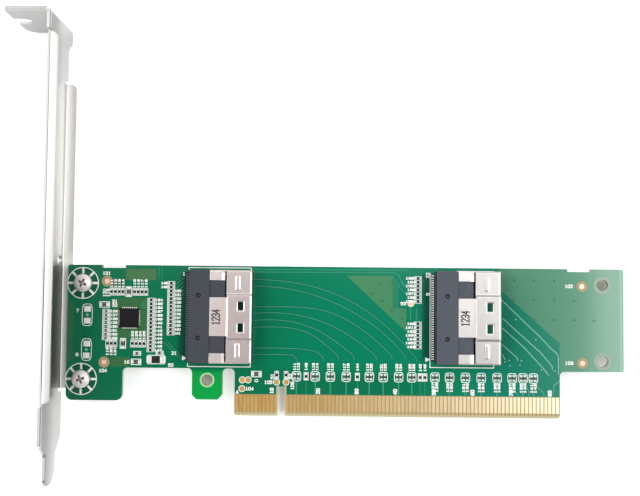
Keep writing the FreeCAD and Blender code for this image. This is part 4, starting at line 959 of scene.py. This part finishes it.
# %% Outlines and numbers
thin = []
outlines = [frames(np.array([(-16.3, 25.4)]), np.array([(8.15, 0)]), np.array([(0, 12.85)])),
            np.array([(45.5, 37.9, 55.0, 37.9), (38.5, 37.3, 38.5, 12.9), (38.5, 12.9, 55.0, 12.9),
                      (55.0, 12.9, 55.0, 13.7)])]
for found, ahead, beside in ((chips["setting_resistors"], 0.42, 0.22), (chips["strap_resistors"], 0.42, 0.24),
                             (chips["filter_capacitors"], 0.45, 0.3), (lone_chips, 0.42, 0.26),
                             (loose_chips, 0.42, 0.24), (chips["power_link"], 0.5, 0.3)):
    (thin if len(found[0]) > 10 else outlines).append(frames(found[0], grown(found[1], ahead), grown(found[2], beside)))
TEXT, SMALL, TINY = 0.72, 0.52, 0.48
labels = [number(text, (x, y), TEXT, *turned) for text, x, y, *turned in (
    ("101", -46.9, 36.2), ("104", -47.4, 10.9), ("102", 73.6, 33.9), ("103", 73.6, 14.0), ("104", -9.2, 6.6),
    ("105", -4.35, 8.3), ("106", 3.2, 6.9, True), ("1", -26.0, 36.2), ("16", -40.9, 13.2), ("92", -29.4, 12.5),
    ("21", -28.6, 15.6), ("7", -53.6, 26.4), ("8", -53.5, 15.0), ("22", 38.2, 36.2, True), ("5", 38.3, 31.6, True),
    ("93", 30.9, 29.0), ("31", -44.3, 28.9), ("32", -44.3, 27.9), ("119", -45.0, 30.5, True),
    ("120", -46.0, 30.5, True))]
for k, x in enumerate(chips["coupling_capacitors"][0][:, 0]):
    foot, wide = (11.9, 1.25) if x < 38 else (6.6, 1.6)
    labels.append(number(str(111 + k), (x + SMALL / 2, foot), SMALL, True, wide))
for k, ((x, y), (ax, ay)) in enumerate(zip(*chips["setting_resistors"][:2])):
    if ax < ay:
        foot = y - 3.1 if y < 25 and x < -42 else y + 1.1
        labels.append(number(str(111 + k), (x + TINY / 2, foot), TINY, True, 1.6))
    else:
        start = x - 2.6 if x > -30 and y > 32.5 else x + 1.05
        labels.append(number(str(111 + k), (start, y - TINY / 2), TINY, False, 1.15 if x > -31 else 1.45))
for k, (x, y) in enumerate(chips["strap_resistors"][0]):
    labels.append(number(str(151 + k), (x - 3.1 + 0.4 * (k % 2), y - TINY / 2), TINY, False, 1.5) if x > 20 else
                  number(str(51 + k), (x + math.copysign(1.1, x) + TEXT / 2, 9.6), TEXT, True))
finger_numbers = [number(str(n), (x + 0.4, 5.85), 0.76, True)
                  for n, x in zip(range(10, 90, 10), [-2.5] + [9.5 + 10 * k for k in range(7)])]
triangles = np.array([[(-25.9, 15.3), (-25.9, 14.1), (-24.6, 14.7)], [(37.3, 15.5), (37.3, 14.3), (38.6, 14.9)],
                      [(-11.9, 5.7), (-10.95, 5.7), (-11.4, 6.65)]])
diamonds = np.array([(-50.83, 25.68), (-50.84, 16.66)])
print(len(outlines), "sets of outlines and", len(labels), "labels")

# %% Ink on the board
INK = (BOARD_TOP - 0.02, BOARD_TOP + 0.05)
OVER = (INK[0], INK[1] + 0.03)
white_ink = coat("white_ink", 0.55, 4.0, (0.80, 0.83, 0.79), (0.95, 0.97, 0.94), 12.0)
strokes = [bars(np.concatenate(lines), width, *level) for lines, width, level in (
    (outlines, 0.21, INK), (thin, 0.13, OVER), (labels, 0.20, OVER), (finger_numbers, 0.26, OVER))]
piece("board_print", strokes + [
    plates(triangles, *INK), rings(SCREWS, (4.15, 4.15), 0.24, *INK, count=56),
    rings(test_points, (0.88, 0.88), 0.18, *INK), rings([(-6.5, 9.05)], (0.5, 0.4), 0.2, *INK),
    rings(diamonds, (1.38, 2.9), 0.17, *INK, power=4.0, count=48),
    rings(pairs, (1.2, 1.32), 0.17, *INK, power=4.0)], white_ink)
pale_mask = coat("pale_mask", 0.4, 3.0, (0.12, 0.42, 0.30), (0.20, 0.52, 0.40), 6.0)
middle, along, across, _ = pair_chips
pair_lands = [rectangles(middle + along * 1.2 * end, along * 0.6, across * 1.6) for end in (-1, 1)]
piece("footprint_dots", [discs(diamonds, 0.5, *PAD, 4)] + [plates(c, PAD[0], PAD[1] - 0.025) for c in pair_lands],
      pale_mask)

# %% [markdown]
# ## Plain code on the straps
# Each shell has four plain counting digits in black on its strap, drawn narrow: the strokes of an upright number are
# stretched across.

# %% Black digits on the shells
black_ink = coat("black_ink", 0.6, 6.0, (0.02, 0.016, 0.014), (0.06, 0.05, 0.045), 12.0)
strap_middles = RECEPTACLES + (8.25, 0)
codes = [number("1234", (0, -1.95), 1.0, True) * (1.9, 1, 1.9, 1) + np.tile(middle, 2) for middle in strap_middles]
piece("strap_codes", [bars(np.concatenate(codes), 0.30, SHEET_TOP - 0.02, SHEET_TOP + 0.02)], black_ink)
